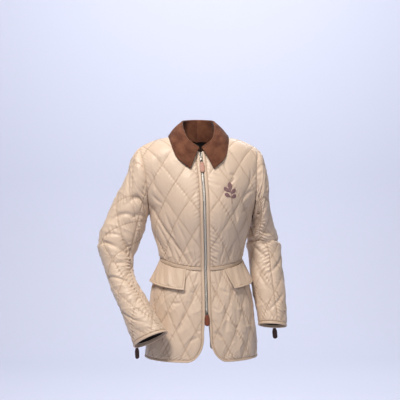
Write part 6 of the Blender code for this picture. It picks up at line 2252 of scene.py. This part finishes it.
def tab_piece(name, hinge, body, finish, node_name):
    """Leather tab: a neck that wraps the link, widening sides, a round foot, a stitched rim."""
    top = -(LINK_LENGTH + LINK_WIRE) + 0.0016
    foot = -(LINK_LENGTH + LINK_WIRE + SEAM) - PULL_LENGTH
    half = 0.5 * PULL_WIDTH
    neck = 0.32 * PULL_WIDTH
    drop = np.linspace(0.0, 1.0, 34)
    rise = smooth(drop / 0.30)
    width = neck + (half - neck) * rise
    round_foot = np.sqrt(np.clip(1.0 - ((drop - 0.80) / 0.20).clip(0.0, 0.985) ** 2, 0.0, 1.0))
    width = width * round_foot
    across = np.sin(np.linspace(-1.0, 1.0, 19) * math.pi / 2.0)
    x = width[:, None] * across[None, :]
    z = np.broadcast_to((top + (foot - top) * drop)[:, None], x.shape)
    points = np.stack([x, np.full(x.shape, -0.0011), z], axis=-1)
    normals = np.broadcast_to(np.array([0.0, -1.0, 0.0]), points.shape)
    rim = width[:, None] - np.abs(x)
    end = np.minimum(z - foot, (top - z) + 0.004)
    edge = np.minimum(rim, end)
    relief = -0.0004 * np.exp(-(edge / 0.0009) ** 2) - 0.00035 * np.exp(
        -((edge - 0.0017) / 0.0004) ** 2)
    relief = relief + 0.0002 * wander(x / 0.004, z / 0.006, 3)
    bulge = 0.0007 * np.exp(-((z - top + 0.0012) / 0.0016) ** 2)
    relief = relief + bulge
    uv = np.stack([x, z], axis=-1)
    vertices, quads, uv = thick_sheet(points, normals, relief, 0.0021, uv, 4)
    mark = 0.6 * np.exp(-(edge / 0.0010) ** 2) + 0.4 * np.exp(-((edge - 0.0017) / 0.0005) ** 2)
    extra = len(vertices) - mark.size
    piece = make_object(name, moved(hinge, vertices), quads, uv, [FINISHES[finish]],
                        marks=np.concatenate([mark.ravel(), np.full(extra, 0.5)]))
    finish_piece(piece, "leather", node_name, body=body)
    shown = moved(hinge, (points + relief[..., None] * normals).reshape(-1, 3)).reshape(
        points.shape)
    out = np.broadcast_to(np.array(hinge)[:3, :3] @ np.array([0.0, -1.0, 0.0]), shown.shape)
    line = np.concatenate([shown[3:29, 3], shown[29, 4:-4], shown[29:3:-1, -4]])
    out = np.broadcast_to(out[0, 0], line.shape)
    add_stitches("pull_" + body, line, out, 0.0021, 0.0014, 0.00026, 0.0001)
    build_stitches("pull_" + body, name + "_stitches", FINISHES[finish], body)


def build_pulls():
    """Sliders, links and leather tabs of the four zips."""
    places = [("zip_slider_top", "zip_pull_top", "top_pull", front_frame(SLIDER_TOP_Z),
               math.radians(FRONT_PULL_TILT), "pale_leather"),
              ("zip_slider_bottom", "zip_pull_bottom", "bottom_pull",
               front_frame(SLIDER_BOTTOM_Z), math.radians(FRONT_PULL_TILT), "rust_leather")]
    for side, label in ((1, "left"), (-1, "right")):
        place = cuff_frame(side)
        down = place.to_3x3().inverted() @ Vector((0.0, 0.0, -1.0))
        places.append(("cuff_slider_" + label, "cuff_pull_" + label, label + "_cuff_pull",
                       place, math.atan2(down.y, -down.z), "dark_leather"))
    for slider, pull, body, place, tilt, finish in places:
        metal_piece(slider + "_shields", slider_parts(place), "sliders", "jacket", slider)
        hinge = place @ Matrix.Translation((0.0, LUG_SUNK - SLIDER_FRONT - LUG_REACH, 0.0))
        hinge = hinge @ Matrix.Rotation(tilt, 4, "X")
        metal_piece(pull + "_wire", [link_part(hinge)], "sliders", body, pull + "_link")
        tab_piece(pull + "_leather", hinge, body, finish, pull + "_tab")


def build_cuff_zips():
    """Closed zip on the hind seam of each cuff: raised tape edges with a row of teeth between."""
    for side, label in ((1, "left"), (-1, "right")):
        surface = sleeve_surface(side)
        table = sleeve_table(side)
        start, step = cuff_start(side)
        last = len(table)
        end = start - CUFF_ZIP_END / step
        w = np.linspace(end - CUFF_ZIP_LENGTH / step, end, 60)
        half = math.degrees(0.5 * CUFF_ZIP_WIDTH / table[-1, 6])
        share = np.linspace(-1.0, 1.0, 15)
        angle = seam_angle(HIND_SEAM[side], w, last)[:, None] + half * share[None, :]
        rows = np.broadcast_to(w[:, None], angle.shape)
        points = surface(angle, rows)
        normals = sleeve_normals(surface, angle, rows)
        lip = 0.0019 + 0.0006 * np.exp(-((np.abs(share) - 0.62) / 0.20) ** 2)
        lip = lip - 0.0012 * np.exp(-(share / 0.30) ** 2)
        relief = np.broadcast_to(lip[None, :], angle.shape)
        uv = np.stack([running_length(points, 1), running_length(points, 0)], axis=-1)
        vertices, quads, uv = thick_sheet(points, normals, relief, -0.0010, uv, 4)
        piece = make_object("cuff_zip_tape_" + label, vertices, quads, uv, [FINISHES["tape"]])
        finish_piece(piece, "zip_tape", "cuff_zip_" + label)
        declare(points)
        across = np.gradient(points, axis=1)[:, 7]
        rows = []
        for way in (1, -1):
            line = points[:, 7] + normals[:, 7] * 0.0018 + unit(across) * 0.0011 * way
            rows.append(teeth_along(line, normals[:, 7], across, 0.25 if way > 0 else 0.75))
        vertices, faces = joined(rows)
        teeth = make_object("cuff_teeth_" + label, vertices, faces,
                            materials=[FINISHES["teeth"]])
        finish_piece(teeth, "zip_metal")


# ---- scene ----

def backdrop_material(name, colour):
    """Matt paint for the floor and the wall behind."""
    material, _, shader, _ = new_finish(name, 0.9)
    shader.inputs["Base Color"].default_value = colour
    shader.inputs["Specular IOR Level"].default_value = 0.1
    return material


def build_stage():
    """Floor and a wall far behind, joined by a wide cove, in one pale tone."""
    turn = np.linspace(-math.pi / 2.0, 0.0, 24)
    radius, floor, wall = 1.6, -1.55, 6.5
    profile = [(-8.0, floor), (-2.0, floor), (1.0, floor), (3.0, floor)]
    profile += [(wall - radius + radius * math.cos(a), floor + radius + radius * math.sin(a))
                for a in turn]
    profile += [(wall, 4.0), (wall, 9.0)]
    profile = np.array(profile)
    x = np.linspace(-14.0, 14.0, 9)
    points = np.stack(np.broadcast_arrays(x[None, :], profile[:, 0:1], profile[:, 1:2]), axis=-1)
    normals = np.broadcast_to(np.array([0.0, -1.0, 1.0]), points.shape)
    quads = grid_quads(points.shape[0], points.shape[1], faces_out_small(points, normals))
    stage = make_object("studio_cove", points.reshape(-1, 3), quads,
                        materials=[backdrop_material("studio_paint", (0.70, 0.72, 0.84, 1))])


def add_light(name, place, target, power, size, colour=(1.0, 1.0, 1.0)):
    """A square area light aimed at a point."""
    light = bpy.data.lights.new(name, "AREA")
    light.shape = "RECTANGLE"
    light.size, light.size_y = size
    light.energy = power
    light.color = colour
    thing = bpy.data.objects.new(name, light)
    thing.location = place
    thing.rotation_euler = (Vector(target) - Vector(place)).to_track_quat("-Z", "Y").to_euler()
    bpy.context.scene.collection.objects.link(thing)


def build_lights():
    """A soft key from the upper left, weaker lights in front, above and behind, one on the wall."""
    world = bpy.data.worlds.new("studio")
    bpy.context.scene.world = world
    world.use_nodes = True
    world.node_tree.nodes["Background"].inputs["Color"].default_value = (0.90, 0.91, 1.0, 1)
    world.node_tree.nodes["Background"].inputs["Strength"].default_value = 0.19
    middle = (0.0, 0.0, -0.3)
    add_light("key", (-0.95, -1.75, 2.45), middle, 121.0, (0.85, 0.85), (1.0, 0.955, 0.90))
    add_light("front", (0.6, -2.8, 0.9), middle, 15.0, (0.8, 0.8), (1.0, 0.96, 0.92))
    add_light("top", (0.1, 0.0, 2.2), middle, 10.0, (1.4, 1.0), (1.0, 0.98, 0.95))
    add_light("back", (1.2, 2.2, 1.0), middle, 16.0, (1.2, 1.2))
    add_light("wall", (0.8, 2.6, 3.6), (0.8, 6.4, -0.6), 232.0, (5.0, 2.0), (0.97, 0.98, 1.0))


def build_camera():
    """Level camera three metres out, turned 5 degrees, at the height of the chest."""
    data = bpy.data.cameras.new("studio_camera")
    data.sensor_width = 36.0
    data.lens = 85.2
    data.shift_x = 0.0
    camera = bpy.data.objects.new("studio_camera", data)
    turn = math.radians(5.0)
    ahead = Vector((math.sin(turn), math.cos(turn), 0.0))
    across = Vector((math.cos(turn), -math.sin(turn), 0.0))
    camera.location = -3.0 * ahead + across * 0.0051 + Vector((0.0, 0.0, -0.194))
    camera.rotation_euler = ahead.to_track_quat("-Z", "Y").to_euler()
    bpy.context.scene.collection.objects.link(camera)
    bpy.context.scene.camera = camera


def main():
    """Build every piece, its stitches and the studio."""
    build_bodice_fronts()
    build_bodice_back()
    build_band()
    for side, label in ((1, "left"), (-1, "right")):
        build_skirt_half(True, side, label)
        build_skirt_half(False, side, label)
    build_bound_edges()
    build_flaps()
    build_sleeves()
    build_armhole_seams()
    build_cuffs()
    build_collar()
    build_linings()
    build_front_zip()
    build_cuff_zips()
    build_pulls()
    build_stitches("quilting", "quilting_stitches", FINISHES["thread"])
    build_stitches("edging", "edge_stitches", FINISHES["thread"])
    build_stitches("collar", "collar_stitches", FINISHES["collar_thread"])
    build_stitches("sprig", "chest_sprig", FINISHES["sprig"])
    build_stage()
    build_lights()
    build_camera()


main()
bpy.context.scene.view_settings.view_transform = "Standard"
